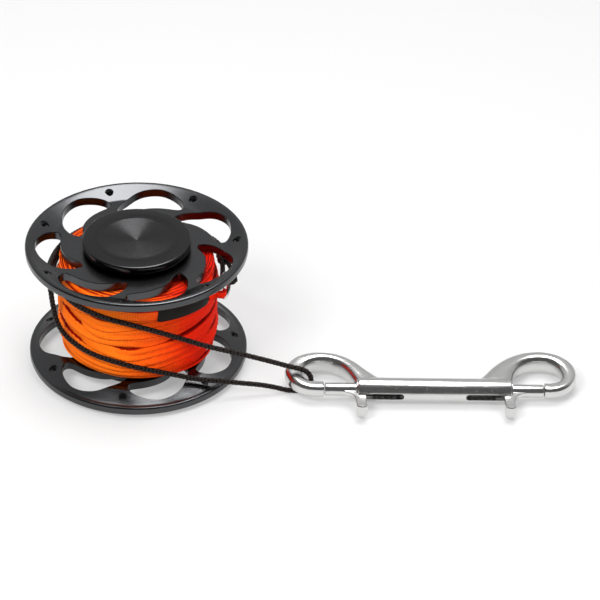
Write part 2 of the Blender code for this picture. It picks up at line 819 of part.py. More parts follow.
def least_gap_to_itself(path, turn_points):
    least = None
    for index, here in enumerate(path):
        for other in path[index + turn_points // 2:]:
            flat = (other - here).xy.length
            across = max(0.0, flat - line_thickness)
            along = max(0.0, abs(other.z - here.z) - line_width)
            gap = math.hypot(across, along)
            least = gap if least is None else min(least, gap)
    return least


layer_path = outer_layer()
layer_section = flat_section("line_section", line_width, line_thickness)
core()
curve_mesh(tube("line_outer_layer", layer_path, 0.0, orange, section=layer_section))
print("least gap of the wound line to itself: %.2f mm"
      % (1000 * least_gap_to_itself(layer_path, line_turn_points)))

sleeve_path = [sleeve_middle(index / (sleeve_points - 1)) for index in range(sleeve_points)]
sleeve_section = flat_section("sleeve_section", sleeve_width, sleeve_thickness)
curve_mesh(tube("line_sleeve", sleeve_path, 0.0, sleeve_black, section=sleeve_section))


# Steel ring, standing on the winding and leaning out at its foot
ring_centre = around(ring_reach, ring_place_angle, ring_height)
ring_out = around(1.0, ring_place_angle, 0.0)
ring_side = Vector((-ring_out.y, ring_out.x, 0.0))


def ring():
    rows = []
    for index in range(ring_wire_sides):
        angle = -2 * math.pi * (index + 0.5) / ring_wire_sides
        rows.append((ring_radius + ring_wire_radius * math.cos(angle),
                     ring_wire_radius * math.sin(angle)))
    item = turned("steel_ring", rows, ring_steps, steel)
    item.location = ring_centre
    lean = math.radians(ring_lean)
    facing = ring_out * math.cos(lean) + Vector((0.0, 0.0, math.sin(lean)))
    item.rotation_euler = facing.to_track_quat("Z", "Y").to_euler()
    return item


ring()


# End loop of the line, round the ring's near side and back into the sleeve
def end_loop():
    sleeve_end = sleeve_middle(1.0)
    along = (sleeve_end - sleeve_middle(1.0 - 1.0 / (sleeve_points - 1))).normalized()
    out = Vector((sleeve_end.x, sleeve_end.y, 0.0)).normalized()
    wire = ring_centre - ring_side * ring_radius - Vector((0.0, 0.0, end_loop_drop))
    clear = ring_wire_radius + touch_gap + line_thickness / 2
    half = end_loop_width / 2 + end_loop_drop
    depth = ring_radius - math.sqrt(ring_radius ** 2 - half ** 2)
    reach = clear + depth + end_loop_ease
    start = sleeve_end + along * touch_gap
    lead = start + along * line_thickness
    bulge = lead + along * end_loop_bulge_run + out * (end_loop_strand_offset + end_loop_bulge_rise)
    bulge.z = (lead.z + wire.z) / 2
    round_wire = [wire + reach * (ring_out * math.sin(math.radians(angle))
                                  + ring_side * math.cos(math.radians(angle)))
                  for angle in (-65, -25, 15, 55, 95, 135, 170)]
    route = [lead - out * end_loop_strand_offset, *round_wire, bulge,
             lead + out * end_loop_strand_offset]
    return [start - out * end_loop_strand_offset, *smooth_open(route, 2),
            start + out * end_loop_strand_offset]


loop_section = flat_section("end_loop_section", end_loop_width, line_thickness)
curve_mesh(tube("line_end_loop", end_loop(), 0.0, orange, section=loop_section))


# Cord
def cord_points():
    fine = smooth_open(cord_route)
    lengths = [0.0]
    for first, second in zip(fine, fine[1:]):
        lengths.append(lengths[-1] + (second - first).length)
    made, taken = [fine[0]], 0
    for index in range(1, len(fine) - 1):
        ahead = fine[min(index + 6, len(fine) - 1)] - fine[index]
        behind = fine[index] - fine[max(index - 6, 0)]
        turn = ahead.angle(behind)
        radius = (ahead.length + behind.length) / 2 / max(turn, weld_distance)
        step = cord_bend_step if radius < cord_bend_radius else cord_step
        if lengths[index] - lengths[taken] >= step:
            made.append(fine[index])
            taken = index
    if lengths[-1] - lengths[taken] < cord_bend_step / 2:
        made.pop()
    made.append(fine[-1])
    print("length of the cord: %.3f m, %d points" % (lengths[-1], len(made)))
    return made


curve_mesh(tube("cord_loop", cord_points(), cord_radius, cord_black))


# Knot: a barrel of turns that takes both ends of the cord, with its own bight round the ring
def knot():
    middle = around(knot_reach, knot_angle, knot_height)
    out = Vector((middle.x, middle.y, 0.0)).normalized()
    side = Vector((-out.y, out.x, 0.0))
    wire = ring_centre + ring_side * ring_radius
    reach = ring_wire_radius + bight_clearance + touch_gap + cord_radius
    face = middle - side * (knot_length / 2 - cord_radius)
    lead = middle - side * (knot_length / 2 + cord_radius)
    points = [face - out * knot_strand_offset, lead - out * knot_strand_offset]
    points.append(((lead - out * knot_strand_offset) + (wire - ring_out * reach)) / 2)
    points.append(wire - ring_out * reach)
    for angle in (-60.0, -30.0, 0.0, 30.0, 60.0):
        turn = math.radians(angle)
        points.append(wire + reach * (ring_out * math.sin(turn) - ring_side * math.cos(turn)))
    points.append(wire + ring_out * reach)
    points.append(((lead + out * knot_strand_offset) + (wire + ring_out * reach)) / 2)
    points += [lead + out * knot_strand_offset, face + out * knot_strand_offset]
    bight = curve_mesh(tube("knot_bight", points, cord_radius))
    cutters.objects.link(bight)
    parts.objects.unlink(bight)
    bight.hide_render = True
    bight.display_type = "WIRE"

    half = knot_length / 2
    outline = [(0.0, half), (knot_radius - knot_edge_round, half),
               (knot_radius, half - knot_edge_round), (knot_radius, knot_edge_round - half),
               (knot_radius - knot_edge_round, -half), (0.0, -half)]
    item = turned("cord_knot", outline, knot_sides, cord_black, closed=False)
    item.location = middle
    item.rotation_euler = side.to_track_quat("Z", "Y").to_euler()
    return boolean(item, bight, "UNION")


knot()


# Double-ended snap
snap = empty("snap_frame", (snap_x, snap_y, snap_z),
             (0.0, math.radians(snap_pitch), math.radians(snap_yaw)))


def eye(name, way):
    # A loft along the eye from its nose to its root inside the barrel
    middles = [Vector((way * (barrel_half_length + along * eye_overhang), away * eye_reach, 0.0))
               for along, away, width, height in eye_outline_shares]

    def build(work):
        rings = []
        for index, here in enumerate(middles):
            ahead = middles[min(index + 1, len(middles) - 1)]
            behind = middles[max(index - 1, 0)]
            along = (ahead - behind).normalized()
            across = Vector((0.0, 0.0, 1.0)).cross(along)
            width = eye_outline_shares[index][2] * eye_width
            height = eye_outline_shares[index][3] * eye_height
            ring = []
            for side in range(eye_sides):
                angle = 2 * math.pi * (side + 0.5) / eye_sides
                c, s = math.cos(angle), math.sin(angle)
                power = 2.0 / eye_squareness
                dx = math.copysign(abs(c) ** power, c) * width / 2
                dz = math.copysign(abs(s) ** power, s) * height / 2
                ring.append(work.verts.new(here + across * dx + Vector((0.0, 0.0, dz))))
            rings.append(ring)
        for first, second in zip(rings, rings[1:]):
            for side in range(eye_sides):
                after = (side + 1) % eye_sides
                work.faces.new((first[side], first[after], second[after], second[side]))
        work.faces.new(rings[0][::-1])
        work.faces.new(rings[-1])
        bmesh.ops.recalc_face_normals(work, faces=work.faces)
    return place(bpy.data.objects.new(name, mesh_from(name, build)), parent=snap, cutter=True)


def along_barrel(item):
    item.rotation_euler = (0.0, math.radians(90.0), 0.0)
    return item


def snap_body():
    half, fillet = barrel_half_length, barrel_edge_round
    outline = [(0.0, half), (barrel_radius - fillet, half), (barrel_radius, half - fillet),
               (barrel_radius, fillet - half), (barrel_radius - fillet, -half), (0.0, -half)]
    item = along_barrel(turned("snap_body", outline, barrel_steps, steel, snap, closed=False))
    boolean(item, eye("left_eye", -1), "UNION")
    boolean(item, eye("right_eye", 1), "UNION")
    wall = bore_middle_wall / 2
    far = gate_end + nose_gap / 2
    for name, low, high in (("left_bore", -far, -wall), ("right_bore", wall, far)):
        outline = [(0.0, high), (bore_radius, high), (bore_radius, low), (0.0, low)]
        boolean(item, along_barrel(turned(name, outline, gate_steps, None, snap, False, True)))

    def build(work):
        for way in (-1, 1):
            ends = sorted((way * slot_inner_end, way * (half + overrun)))
            box_into(work, (ends[0], -barrel_radius - overrun, -slot_width / 2),
                     (ends[1], 0.0, slot_width / 2))
    slots = place(bpy.data.objects.new("gate_slots", mesh_from("gate_slots", build)),
                  parent=snap, cutter=True)
    return boolean(item, slots)


def gate(name, way):
    home = empty(name + "_axis", (way * lever_at, 0.0, 0.0))
    home.parent = snap
    near, far = gate_inner_end - lever_at, gate_end - lever_at
    fillet = gate_edge_round
    outline = [(0.0, far), (gate_radius - fillet, far), (gate_radius, far - fillet),
               (gate_radius, near), (0.0, near)]
    item = turned(name, outline, gate_steps, steel, home, closed=False)
    item.rotation_euler = (0.0, math.radians(90.0 * way), 0.0)

    # Lever: a flat stem that flows into the bolt, and a thicker tab at its end
    stem = lever_stem_width / 2
    root = gate_radius / 2
    tab_inner = lever_reach - lever_tab_thickness
    outline = [(-stem, -root), (-stem, -tab_inner), (stem, -tab_inner),
               (stem, -gate_radius - lever_gusset)]
    for share in (0.25, 0.5, 0.75):
        turn = math.radians(90.0 * share)
        outline.append((stem + lever_gusset * (1 - math.cos(turn)),
                        -gate_radius - lever_gusset * (1 - math.sin(turn))))
    outline.append((stem + lever_gusset, -root))

    def build(work):
        low, high = -lever_stem_thickness / 2, lever_stem_thickness / 2
        under = [work.verts.new((way * x, y, low)) for x, y in outline]
        face = work.faces.new(under)
        raised = bmesh.ops.extrude_face_region(work, geom=[face])["geom"]
        lift = Vector((0.0, 0.0, high - low))
        bmesh.ops.translate(work, verts=[v for v in raised if isinstance(v, bmesh.types.BMVert)],
                            vec=lift)
        bmesh.ops.recalc_face_normals(work, faces=work.faces)
    lever = place(bpy.data.objects.new(name + "_stem", mesh_from(name + "_stem", build)),
                  parent=home, cutter=True)
    boolean(item, lever, "UNION")

    def build_tab(work):
        box_into(work, (-lever_tab_width / 2, -lever_reach, -lever_tab_bottom),
                 (lever_tab_width / 2, -tab_inner + touch_gap, lever_tab_top))
    tab = place(bpy.data.objects.new(name + "_tab", mesh_from(name + "_tab", build_tab)),
                parent=home, cutter=True)
    edge = tab.modifiers.new("edge", "BEVEL")
    edge.width = lever_tab_round
    edge.segments = 2
    return boolean(item, tab, "UNION")


def spring(name, way):
    # Rests between the bore's floor and the bolt's inner end
    low = bore_middle_wall / 2 + spring_end_gap + spring_wire_radius
    high = gate_inner_end - spring_end_gap - spring_wire_radius
    count = spring_turns * spring_turn_points
    points = []
    for index in range(count + 1):
        angle = 2 * math.pi * index / spring_turn_points
        points.append((way * (low + (high - low) * index / count),
                       spring_radius * math.cos(angle), spring_radius * math.sin(angle)))
    item = tube(name, points, spring_wire_radius, steel, snap, resolution=1)
    return curve_mesh(item)


snap_body()
for label, way in (("left", -1), ("right", 1)):
    gate("gate_bolt_" + label, way)
    spring("gate_spring_" + label, way)

bpy.context.view_layer.update()
for item in parts.objects:
    if item.type == "MESH":
        shade(item)
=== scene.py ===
from math import atan, copysign, cos, degrees, pi, radians, sin

import bmesh
import bpy
import numpy as np
from mathutils import Matrix, Vector


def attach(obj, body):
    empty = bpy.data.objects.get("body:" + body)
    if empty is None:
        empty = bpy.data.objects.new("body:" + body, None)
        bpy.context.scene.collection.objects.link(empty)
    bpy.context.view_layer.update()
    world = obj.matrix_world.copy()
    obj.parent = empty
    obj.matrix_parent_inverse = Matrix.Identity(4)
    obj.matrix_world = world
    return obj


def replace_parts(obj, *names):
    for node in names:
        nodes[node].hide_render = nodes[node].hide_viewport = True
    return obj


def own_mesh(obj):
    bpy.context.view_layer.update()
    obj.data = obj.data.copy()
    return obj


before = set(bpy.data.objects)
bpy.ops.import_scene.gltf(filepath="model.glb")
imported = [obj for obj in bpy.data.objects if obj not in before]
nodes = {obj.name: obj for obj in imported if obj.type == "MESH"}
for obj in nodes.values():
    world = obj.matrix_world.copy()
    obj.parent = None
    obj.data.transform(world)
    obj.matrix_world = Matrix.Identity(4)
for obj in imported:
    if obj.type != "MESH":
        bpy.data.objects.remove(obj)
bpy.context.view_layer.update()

mm = 0.001  # lengths are written in mm and used in metres
scene = bpy.context.scene
print("frame loaded:", len(nodes), "nodes")


def inMm(**lengths):
    return {name: length * mm for name, length in lengths.items()}


# Camera first: three quarters from above, turned a little about its own line of sight
camera = {
    "place": (0.06504, -0.76058, 0.56466), "down": 35.17, "roll": 1.81, "lens": 139.28,
    "clip": (0.01, 20.0)}


def makeCamera():
    data = bpy.data.cameras.new("spoolCamera")
    data.lens = camera["lens"]
    data.clip_start, data.clip_end = camera["clip"]
    item = bpy.data.objects.new("spoolCamera", data)
    scene.collection.objects.link(item)
    down, roll = radians(camera["down"]), radians(camera["roll"])
    ahead = Vector((0.0, cos(down), -sin(down)))
    upright = Vector((0.0, sin(down), cos(down)))
    level = Vector((1.0, 0.0, 0.0))
    right = level * cos(roll) + upright * sin(roll)
    up = upright * cos(roll) - level * sin(roll)
    turned = Matrix((right, up, -ahead)).transposed().to_4x4()
    item.matrix_world = Matrix.Translation(camera["place"]) @ turned
    scene.camera = item


makeCamera()
scene.view_settings.view_transform = "Standard"
print("camera placed")


# Small shape tools
weldReach = 0.002 * mm


def around(radius, angle, height):
    turn = radians(angle)
    return Vector((radius * cos(turn), radius * sin(turn), height))


def show(name, data, finish=None):
    item = bpy.data.objects.new(name, data)
    scene.collection.objects.link(item)
    if finish is not None:
        data.materials.append(finish)
    return item


def showMesh(name, work, data, finish):
    bmesh.ops.recalc_face_normals(work, faces=work.faces)
    work.to_mesh(data)
    work.free()
    return show(name, data, finish)


def rounding(radius, height, soft, turns):
    # An outer edge made round, from its end face towards its side
    return [(radius - soft * (1 - sin(t)), height - soft * (1 - cos(t))) for t in turns]


def smoothShade(item, angle=32.0):
    item.data.shade_smooth()
    item.data.set_sharp_from_angle(angle=radians(angle))
    return item


def gridMesh(name, rings, finish=None):
    # rings is a stack of closed rings of points; the first and the last are filled in
    rings = np.asarray(rings, float)
    count, sides = rings.shape[:2]
    index = np.arange(count * sides).reshape(count, sides)
    here, ahead = index[:-1], index[1:]
    faces = np.stack([here, np.roll(here, -1, 1), np.roll(ahead, -1, 1), ahead], -1)
    faces = faces.reshape(-1, 4).tolist() + [index[0][::-1].tolist(), index[-1].tolist()]
    data = bpy.data.meshes.new(name)
    data.from_pydata(rings.reshape(-1, 3).tolist(), [], faces)
    work = bmesh.new()
    work.from_mesh(data)
    return showMesh(name, work, data, finish)


def lathe(name, outline, steps, finish=None, closed=False):
    # outline runs down the outer side; an open one begins and ends on the axis
    data = bpy.data.meshes.new(name)
    work = bmesh.new()
    dots = [work.verts.new((radius, 0.0, height)) for radius, height in outline]
    lines = [work.edges.new(pair) for pair in zip(dots, dots[1:])]
    if closed:
        lines.append(work.edges.new((dots[-1], dots[0])))
    bmesh.ops.spin(work, geom=dots + lines, cent=(0, 0, 0), axis=(0, 0, 1),
                   angle=2 * pi, steps=steps, use_merge=True)
    bmesh.ops.remove_doubles(work, verts=work.verts, dist=weldReach)
    return showMesh(name, work, data, finish)


def carve(item, cutter, operation="DIFFERENCE"):
    # Boolean, applied at once; the cutter goes
    step = item.modifiers.new("carve", "BOOLEAN")
    step.operation, step.solver, step.object = operation, "EXACT", cutter
    return settle(item, cutter)


def settle(item, *gone):
    bpy.context.view_layer.update()
    graph = bpy.context.evaluated_depsgraph_get()
    made = bpy.data.meshes.new_from_object(item.evaluated_get(graph))
    item.modifiers.clear()
    item.data = made
    for other in gone:
        bpy.data.objects.remove(other, do_unlink=True)
    return item


def smoothPath(points, between):
    # Centripetal Catmull-Rom through given points
    rows = [np.array(point, float) for point in points]
    rows = [2 * rows[0] - rows[1]] + rows + [2 * rows[-1] - rows[-2]]
    made = []
    for index in range(1, len(rows) - 2):
        row = rows[index - 1:index + 3]
        knots = [0.0]
        for first, second in zip(row, row[1:]):
            knots.append(knots[-1] + max(np.linalg.norm(second - first), 1e-9) ** 0.5)
        for part in range(between):
            at = knots[1] + part / between * (knots[2] - knots[1])
            mixed = row
            for first, span in ((0, 1), (0, 2), (1, 1)):
                pairs = zip(mixed, mixed[1:], knots[first:], knots[first + span:])
                mixed = [(a * (end - at) + b * (at - start)) / (end - start)
                         for a, b, start, end in pairs]
            made.append(mixed[0])
    return np.array(made + [rows[-2]])


def evenPath(points, step):
    lengths = np.r_[0, np.cumsum(np.linalg.norm(np.diff(points, axis=0), axis=1))]
    count = max(2, round(lengths[-1] / step) + 1)
    at = np.linspace(0, lengths[-1], count)
    return np.stack([np.interp(at, lengths, points[:, k]) for k in range(3)], 1), at


def pathFrames(points, first=(0.0, 0.0, 1.0)):
    # Two directions square to the path, carried along it without twist
    ahead = np.gradient(points, axis=0)
    ahead /= np.linalg.norm(ahead, axis=1)[:, None]
    side = np.array(first, float)
    sides = []
    for direction in ahead:
        side = side - direction * (side @ direction)
        side /= np.linalg.norm(side)
        sides.append(side.copy())
    sides = np.array(sides)
    return sides, np.cross(ahead, sides)


def squarer(value, power):
    # Cosine or sine of a turn; a power over 2 makes its circle squarer
    return copysign(abs(value) ** (2 / power), value)


def flatTube(name, points, width, thickness, finish, squareness=3.0, sides=20, taper=None):
    high, out = pathFrames(points)
    rings, along, across, run = [], [], [], 0.0
    for index, spot in enumerate(points):
        scale = taper(index / (len(points) - 1)) if taper else 1.0
        run += np.linalg.norm(spot - points[index - 1]) if index else 0.0
        ring = []
        for side in range(sides):
            turn = 2 * pi * side / sides
            a, b = squarer(cos(turn), squareness), squarer(sin(turn), squareness)
            ring.append(spot + high[index] * a * width / 2 * scale
                        + out[index] * b * thickness / 2 * scale)
            along.append(run)
            across.append(a)
        rings.append(ring)
    item = gridMesh(name, rings, finish)
    addValues(item, along=along, across=across)
    return smoothShade(item, 50.0)


def addValues(item, **named):
    for name, values in named.items():
        attribute = item.data.attributes.new(name, "FLOAT", "POINT")
        attribute.data.foreach_set("value", np.asarray(values, np.float32).ravel())


# Shader tools: an expression on sockets adds its Math nodes
class Wire:
    def __init__(self, tree, socket):
        self.tree, self.socket = tree, socket

    def math(self, operation, *values):
        made = self.tree.nodes.new("ShaderNodeMath")
        made.operation = operation
        for slot, value in zip(made.inputs, values):
            plug(self.tree, slot, value)
        return Wire(self.tree, made.outputs[0])

    def __add__(self, other): return self.math("ADD", self, other)
    def __radd__(self, other): return self.math("ADD", other, self)
    def __sub__(self, other): return self.math("SUBTRACT", self, other)
    def __rsub__(self, other): return self.math("SUBTRACT", other, self)
    def __mul__(self, other): return self.math("MULTIPLY", self, other)
    def __pow__(self, other): return self.math("POWER", self, other)
    def sine(self): return self.math("SINE", self)
    def size(self): return self.math("ABSOLUTE", self)
    def kept(self): return self.math("MINIMUM", self.math("MAXIMUM", self, 0.0), 1.0)


def plug(tree, slot, value):
    if isinstance(value, Wire):
        tree.links.new(value.socket, slot)
    elif hasattr(value, "__len__") and len(value) == 3 and slot.type == "RGBA":
        slot.default_value = (*value, 1.0)
    else:
        slot.default_value = value


class Finish:
    # A material around one Principled shader; what stays the same is set on its own sockets
    def __init__(self, name, **fixed):
        self.made = bpy.data.materials.new(name)
        self.made.use_nodes = True
        self.tree = self.made.node_tree
        self.shader = self.tree.nodes["Principled BSDF"]
        self.set(**fixed)

    def set(self, **values):
        for name, value in values.items():
            plug(self.tree, self.shader.inputs[name.replace("_", " ")], value)
        return self

    def add(self, kind, settings=None, output=0, **sockets):
        made = self.tree.nodes.new("ShaderNode" + kind)
        for name, value in (settings or {}).items():
            setattr(made, name, value)
        for name, value in sockets.items():
            # A socket that shares its name with others is given by its number, as in i6
            plug(self.tree, made.inputs[int(name[1:]) if name[1:].isdigit() else name], value)
        return Wire(self.tree, made.outputs[output])

    def place(self):
        return self.add("TexCoord", output=3)

    def axes(self):
        split = self.tree.nodes.new("ShaderNodeSeparateXYZ")
        plug(self.tree, split.inputs[0], self.place())
        return [Wire(self.tree, split.outputs[k]) for k in range(3)]

    def noise(self, scale, detail=2.0, roughness=0.5, where=None):
        return self.add("TexNoise", Vector=where or self.place(), Scale=scale,
                        Detail=detail, Roughness=roughness)

    def blend(self, share, low, high):
        return self.add("Mix", {"data_type": "RGBA"}, output=2, i0=share, i6=low, i7=high)

    def attribute(self, name):
        return self.add("Attribute", {"attribute_name": name}, output=2)

    def bump(self, height, distance, strength=1.0):
        made = self.add("Bump", Height=height, Distance=distance, Strength=strength)
        return self.set(Normal=made)


# Finishes; the scales of their patterns are per metre
anodisedLook = {
    "base": (0.068, 0.069, 0.072), "lift": (0.088, 0.089, 0.092), "roughness": 0.25,
    "grain": 2400.0, "cloud": 70.0, "deep": 0.011 * mm}
capLook = {
    "base": (0.040, 0.040, 0.041), "lift": 1.35, "roughness": 0.22, "grooves": 31000.0,
    "coarse": 2600.0, "deep": 0.0098 * mm, "inside": 14.4 * mm, "fade": 4000.0}
steelLook = {
    "dark": (0.58, 0.578, 0.572), "light": (0.74, 0.737, 0.73), "roughness": 0.235, "cast": 420.0,
    "streaks": (260.0, 3600.0, 3600.0), "cloud": 90.0, "deep": 0.03 * mm}
# For the line, lit and deep are painted lit and shaded copies of its orange, turnover and change
# set where painted light gives way to painted shade, and the darkest colour is painted shade
# between turns
lineLook = {
    "lit": (1.0, 0.235, 0.010), "deep": (0.90, 0.018, 0.002), "creaseShade": (0.22, 0.002, 0.001),
    "rib": 0.60 * mm, "rows": 20.0, "worn": 260.0, "turnover": 0.76, "change": 34.0,
    "relief": 0.12 * mm}
cordLook = {
    "gap": (0.0010, 0.0009, 0.0009), "thread": (0.052, 0.038, 0.033), "fibre": 2600.0,
    "relief": 0.05 * mm}
sleeveLook = {
    "dark": (0.003, 0.0028, 0.0023), "light": (0.012, 0.010, 0.008), "grain": 300.0, "ribs": 5200.0,
    "relief": 0.06 * mm}
pulledLook = {
    "dark": (0.006, 0.006, 0.007), "light": (0.016, 0.014, 0.014), "grain": 900.0,
    "relief": 0.04 * mm}


def anodisedFinish():
    made = Finish("anodisedBlack", Metallic=1.0)
    grain = made.noise(anodisedLook["grain"], 2.0, 0.6)
    cloud = made.noise(anodisedLook["cloud"], 2.0)
    mottle = (grain * 0.75 + cloud * 0.35).kept()
    made.set(Base_Color=made.blend(mottle, anodisedLook["base"], anodisedLook["lift"]))
    made.set(Roughness=anodisedLook["roughness"] + (grain - 0.5) * 0.10 + (cloud - 0.5) * 0.03)
    return made.bump(grain, anodisedLook["deep"], 0.9).made


def capFinish():
    # Turned grooves in the cone, plain outside it
    made = Finish("turnedBlack", Metallic=1.0)
    x, y, z = made.axes()
    reach = (x * x + y * y) ** 0.5
    rings = (reach * capLook["grooves"]).sine()
    where = made.add("CombineXYZ", X=reach * capLook["coarse"], Y=0.0, Z=z * 40.0)
    coarse = made.noise(1.0, 2.0, 0.5, where)
    lifted = tuple(capLook["lift"] * c for c in capLook["base"])
    made.set(Base_Color=made.blend(coarse, capLook["base"], lifted))
    made.set(Roughness=capLook["roughness"] + (coarse - 0.5) * 0.06)
    inside = ((capLook["inside"] - reach) * capLook["fade"]).kept()
    return made.bump((rings + (coarse - 0.5) * 0.6) * inside, capLook["deep"]).made


def steelFinish(name="castSteel", rough=0.0):
    made = Finish(name, Metallic=1.0)
    cast = made.noise(steelLook["cast"], 4.0, 0.6)
    drawn = made.add("Mapping", Vector=made.place(), Scale=steelLook["streaks"])
    streak = made.noise(1.0, 3.0, 0.6, drawn)
    soft = made.noise(steelLook["cloud"], 2.0)
    mottle = (soft * 0.7 + streak * 0.35).kept()
    made.set(Base_Color=made.blend(mottle, steelLook["dark"], steelLook["light"]))
    made.set(Roughness=steelLook["roughness"] + rough + (streak - 0.5) * 0.14 + (cast - 0.5) * 0.10)
    return made.bump(cast * 0.8 + streak * 0.4, steelLook["deep"], 0.55).made


def lineFinish():
    # Orange towards the left side of the winding and red towards its right: painted light on the
    # left and painted shade on the right
    made = Finish("wovenLine", Roughness=0.7, Specular_IOR_Level=0.12)
    x = made.axes()[0]
    along, across = made.attribute("along"), made.attribute("across")
    ribs = (along * (2 * pi / lineLook["rib"])).sine()
    rows = (across * lineLook["rows"]).sine()
    worn = made.noise(lineLook["worn"], 3.0, 0.6)
    side = (lineLook["turnover"] - x * lineLook["change"] + (worn - 0.5) * 0.25).kept()
    thread = made.blend(side, lineLook["deep"], lineLook["lit"])
    # Painted shade in the low parts of the ribs and rows, mixed with random worn tone
    valleyShadeAndWear = ((1 - ribs) * 0.24 + (1 - rows) * 0.05 + (worn - 0.5).size() * 0.3).kept()
    cloth = made.blend(valleyShadeAndWear, thread, lineLook["deep"])
    # Painted shade along each ribbon's edges, where one turn overlaps the next
    edge = ((across.size() - 0.78) * 6.0).kept()
    made.set(Base_Color=made.blend(edge, cloth, lineLook["creaseShade"]))
    return made.bump(ribs * 0.6 + rows * 0.25 + worn * 0.5, lineLook["relief"], 0.7).made


def cordFinish():
    made = Finish("braidedCord", Roughness=0.5, Specular_IOR_Level=0.18)
    over = made.attribute("over")
    fibre = made.noise(cordLook["fibre"], 2.0, 0.6)
    # Painted shade: near black in the gaps between strands, the paler thread colour on the raised
    # strands, flecked by fibre noise
    gapShadeAndFibre = ((over * 1.8 - 0.85).kept() * (fibre * 0.6 + 0.5)).kept()
    made.set(Base_Color=made.blend(gapShadeAndFibre, cordLook["gap"], cordLook["thread"]))
    return made.bump(fibre, cordLook["relief"], 0.5).made


def sleeveFinish():
    made = Finish("shrinkSleeve", Roughness=0.5, Specular_IOR_Level=0.10)
    soft = made.noise(sleeveLook["grain"], 3.0, 0.55)
    ribs = (made.attribute("along") * sleeveLook["ribs"]).sine()
    made.set(Base_Color=made.blend(soft, sleeveLook["dark"], sleeveLook["light"]))
    return made.bump(soft + ribs * 0.12, sleeveLook["relief"], 0.6).made


def pulledFinish():
    made = Finish("pulledCord", Roughness=0.22)
    soft = made.noise(pulledLook["grain"], 2.0)
    made.set(Base_Color=made.blend(soft, pulledLook["dark"], pulledLook["light"]))
    return made.bump(soft, pulledLook["relief"], 0.5).made


anodised, turnedBlack = anodisedFinish(), capFinish()
castSteel, brightSteel = steelFinish(), steelFinish("groundSteel", -0.05)
wovenLine, braidedCord = lineFinish(), cordFinish()
shrinkSleeve, pulledCord = sleeveFinish(), pulledFinish()
print("finishes made")


# Flanges: dished plates with swirling cutouts, every edge broken by a small chamfer
flange = {
    "steps": 288, "cutouts": 7, "firstCutout": 34.6, "smoothings": 12, "firstRimHole": 7.9,
    "screws": 4, **inMm(radius=44.0, thickness=3.5, flat=34.6, coneIn=36.2, coneOut=42.0, land=42.8,
    dish=3.2, hole=9.5, edge=0.9, spacing=0.75, upper=47.9, lower=8.4, cutoutStep=0.42, chamfer=0.2,
    clear=0.25, past=2, rimHole=1.4, rimChamfer=0.25, rimCircle=39.3, screwCircle=13.65,
    screwHead=3.3, screwTaper=1.5, screwShank=1.8, screwDepth=2.0)}
# Bearing back from a cutout's middle, and share of the flange's radius
cutoutShares = (
    (-26.5, 0.550), (-24.4, 0.655), (-18.9, 0.749), (-13.1, 0.818), (-6.9, 0.875), (0.0, 0.906),
    (7.1, 0.913), (14.2, 0.887), (20.3, 0.848), (24.6, 0.794), (24.3, 0.735), (19.5, 0.712),
    (12.9, 0.697), (6.1, 0.679), (-0.9, 0.656), (-7.7, 0.626), (-13.9, 0.588), (-18.9, 0.547))


def dishAt(radius):
    bendIn, bendOut = flange["coneIn"] - flange["flat"], flange["land"] - flange["coneOut"]
    slope = flange["dish"] / (bendIn / 2 + flange["coneOut"] - flange["coneIn"] + bendOut / 2)
    if radius <= flange["flat"]:
        return 0.0
    if radius <= flange["coneIn"]:
        return slope * (radius - flange["flat"]) ** 2 / (2 * bendIn)
    if radius <= flange["coneOut"]:
        return slope * (bendIn / 2 + radius - flange["coneIn"])
    left = max(0.0, flange["land"] - radius)
    return flange["dish"] - slope * left ** 2 / (2 * bendOut)


def makeFlange(name, face, outward):
    radius, soft = flange["radius"], flange["edge"]
    radii = [*np.arange(flange["hole"], radius - soft, flange["spacing"]), radius - soft]
    outer = [(r, flange["thickness"] + dishAt(r)) for r in radii]
    inner = [(r, dishAt(r)) for r in radii]
    top, low = flange["dish"] + flange["thickness"], flange["dish"]
    rim = rounding(radius, top, soft, (0.35, 0.7, 1.05, 1.4))
    rim += [(radius, top - soft), (radius, low + soft)]
    rim += [(radius - soft * (1 - cos(t)), low + soft * (1 - sin(t)))
            for t in (0.35, 0.7, 1.05)]
    outline = [(r, face + outward * h) for r, h in outer + rim + inner[::-1]]
    item = lathe(name, outline, flange["steps"], anodised, closed=True)
    for index in range(flange["cutouts"]):
        carve(item, cutoutCutter(face, outward, index))
    for cutter in holeCutters(face, outward):
        carve(item, cutter)
    smoothShade(item, 28.0)
    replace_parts(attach(item, "spool"), name[:5].lower() + "_flange")


def cutoutCutter(face, outward, index):
    middle = flange["firstCutout"] + index * 360.0 / flange["cutouts"]
    dots = [around(share * flange["radius"], middle - angle, 0.0) for angle, share in cutoutShares]
    edge = evenPath(smoothPath(dots + dots[:1], 16), flange["cutoutStep"])[0][:-1, :2]
    for _ in range(flange["smoothings"]):
        edge = (np.roll(edge, 1, 0) + 2 * edge + np.roll(edge, -1, 0)) / 4
    ahead = np.roll(edge, -2, 0) - np.roll(edge, 2, 0)
    ahead /= np.linalg.norm(ahead, axis=1)[:, None]
    square = np.stack([ahead[:, 1], -ahead[:, 0]], 1)
    if ((edge - edge.mean(0)) * square).sum() < 0:
        square = -square

    def ring(offset, base, extra):
        # Without a base the ring follows the dish
        spots = edge + square * offset
        rise = [dishAt(np.linalg.norm(p)) if base is None else base for p in spots]
        return [(p[0], p[1], face + outward * (h + extra)) for p, h in zip(spots, rise)]
    thick, chamfer, clear = flange["thickness"], flange["chamfer"], flange["clear"]
    wide, past = chamfer + clear, flange["past"]
    rings = [ring(wide, flange["dish"], thick + past), ring(wide, None, thick + clear),
             ring(0.0, None, thick - chamfer), ring(0.0, None, chamfer),
             ring(wide, None, -clear), ring(wide, 0.0, -past)]
    return gridMesh("cutter", rings)


def drills(marks, steps, count, circle, first):
    made = []
    for index in range(count):
        drill = lathe("cutter", marks, steps)
        drill.location = around(circle, first + index * 360.0 / count, 0.0)
        made.append(drill)
    return made


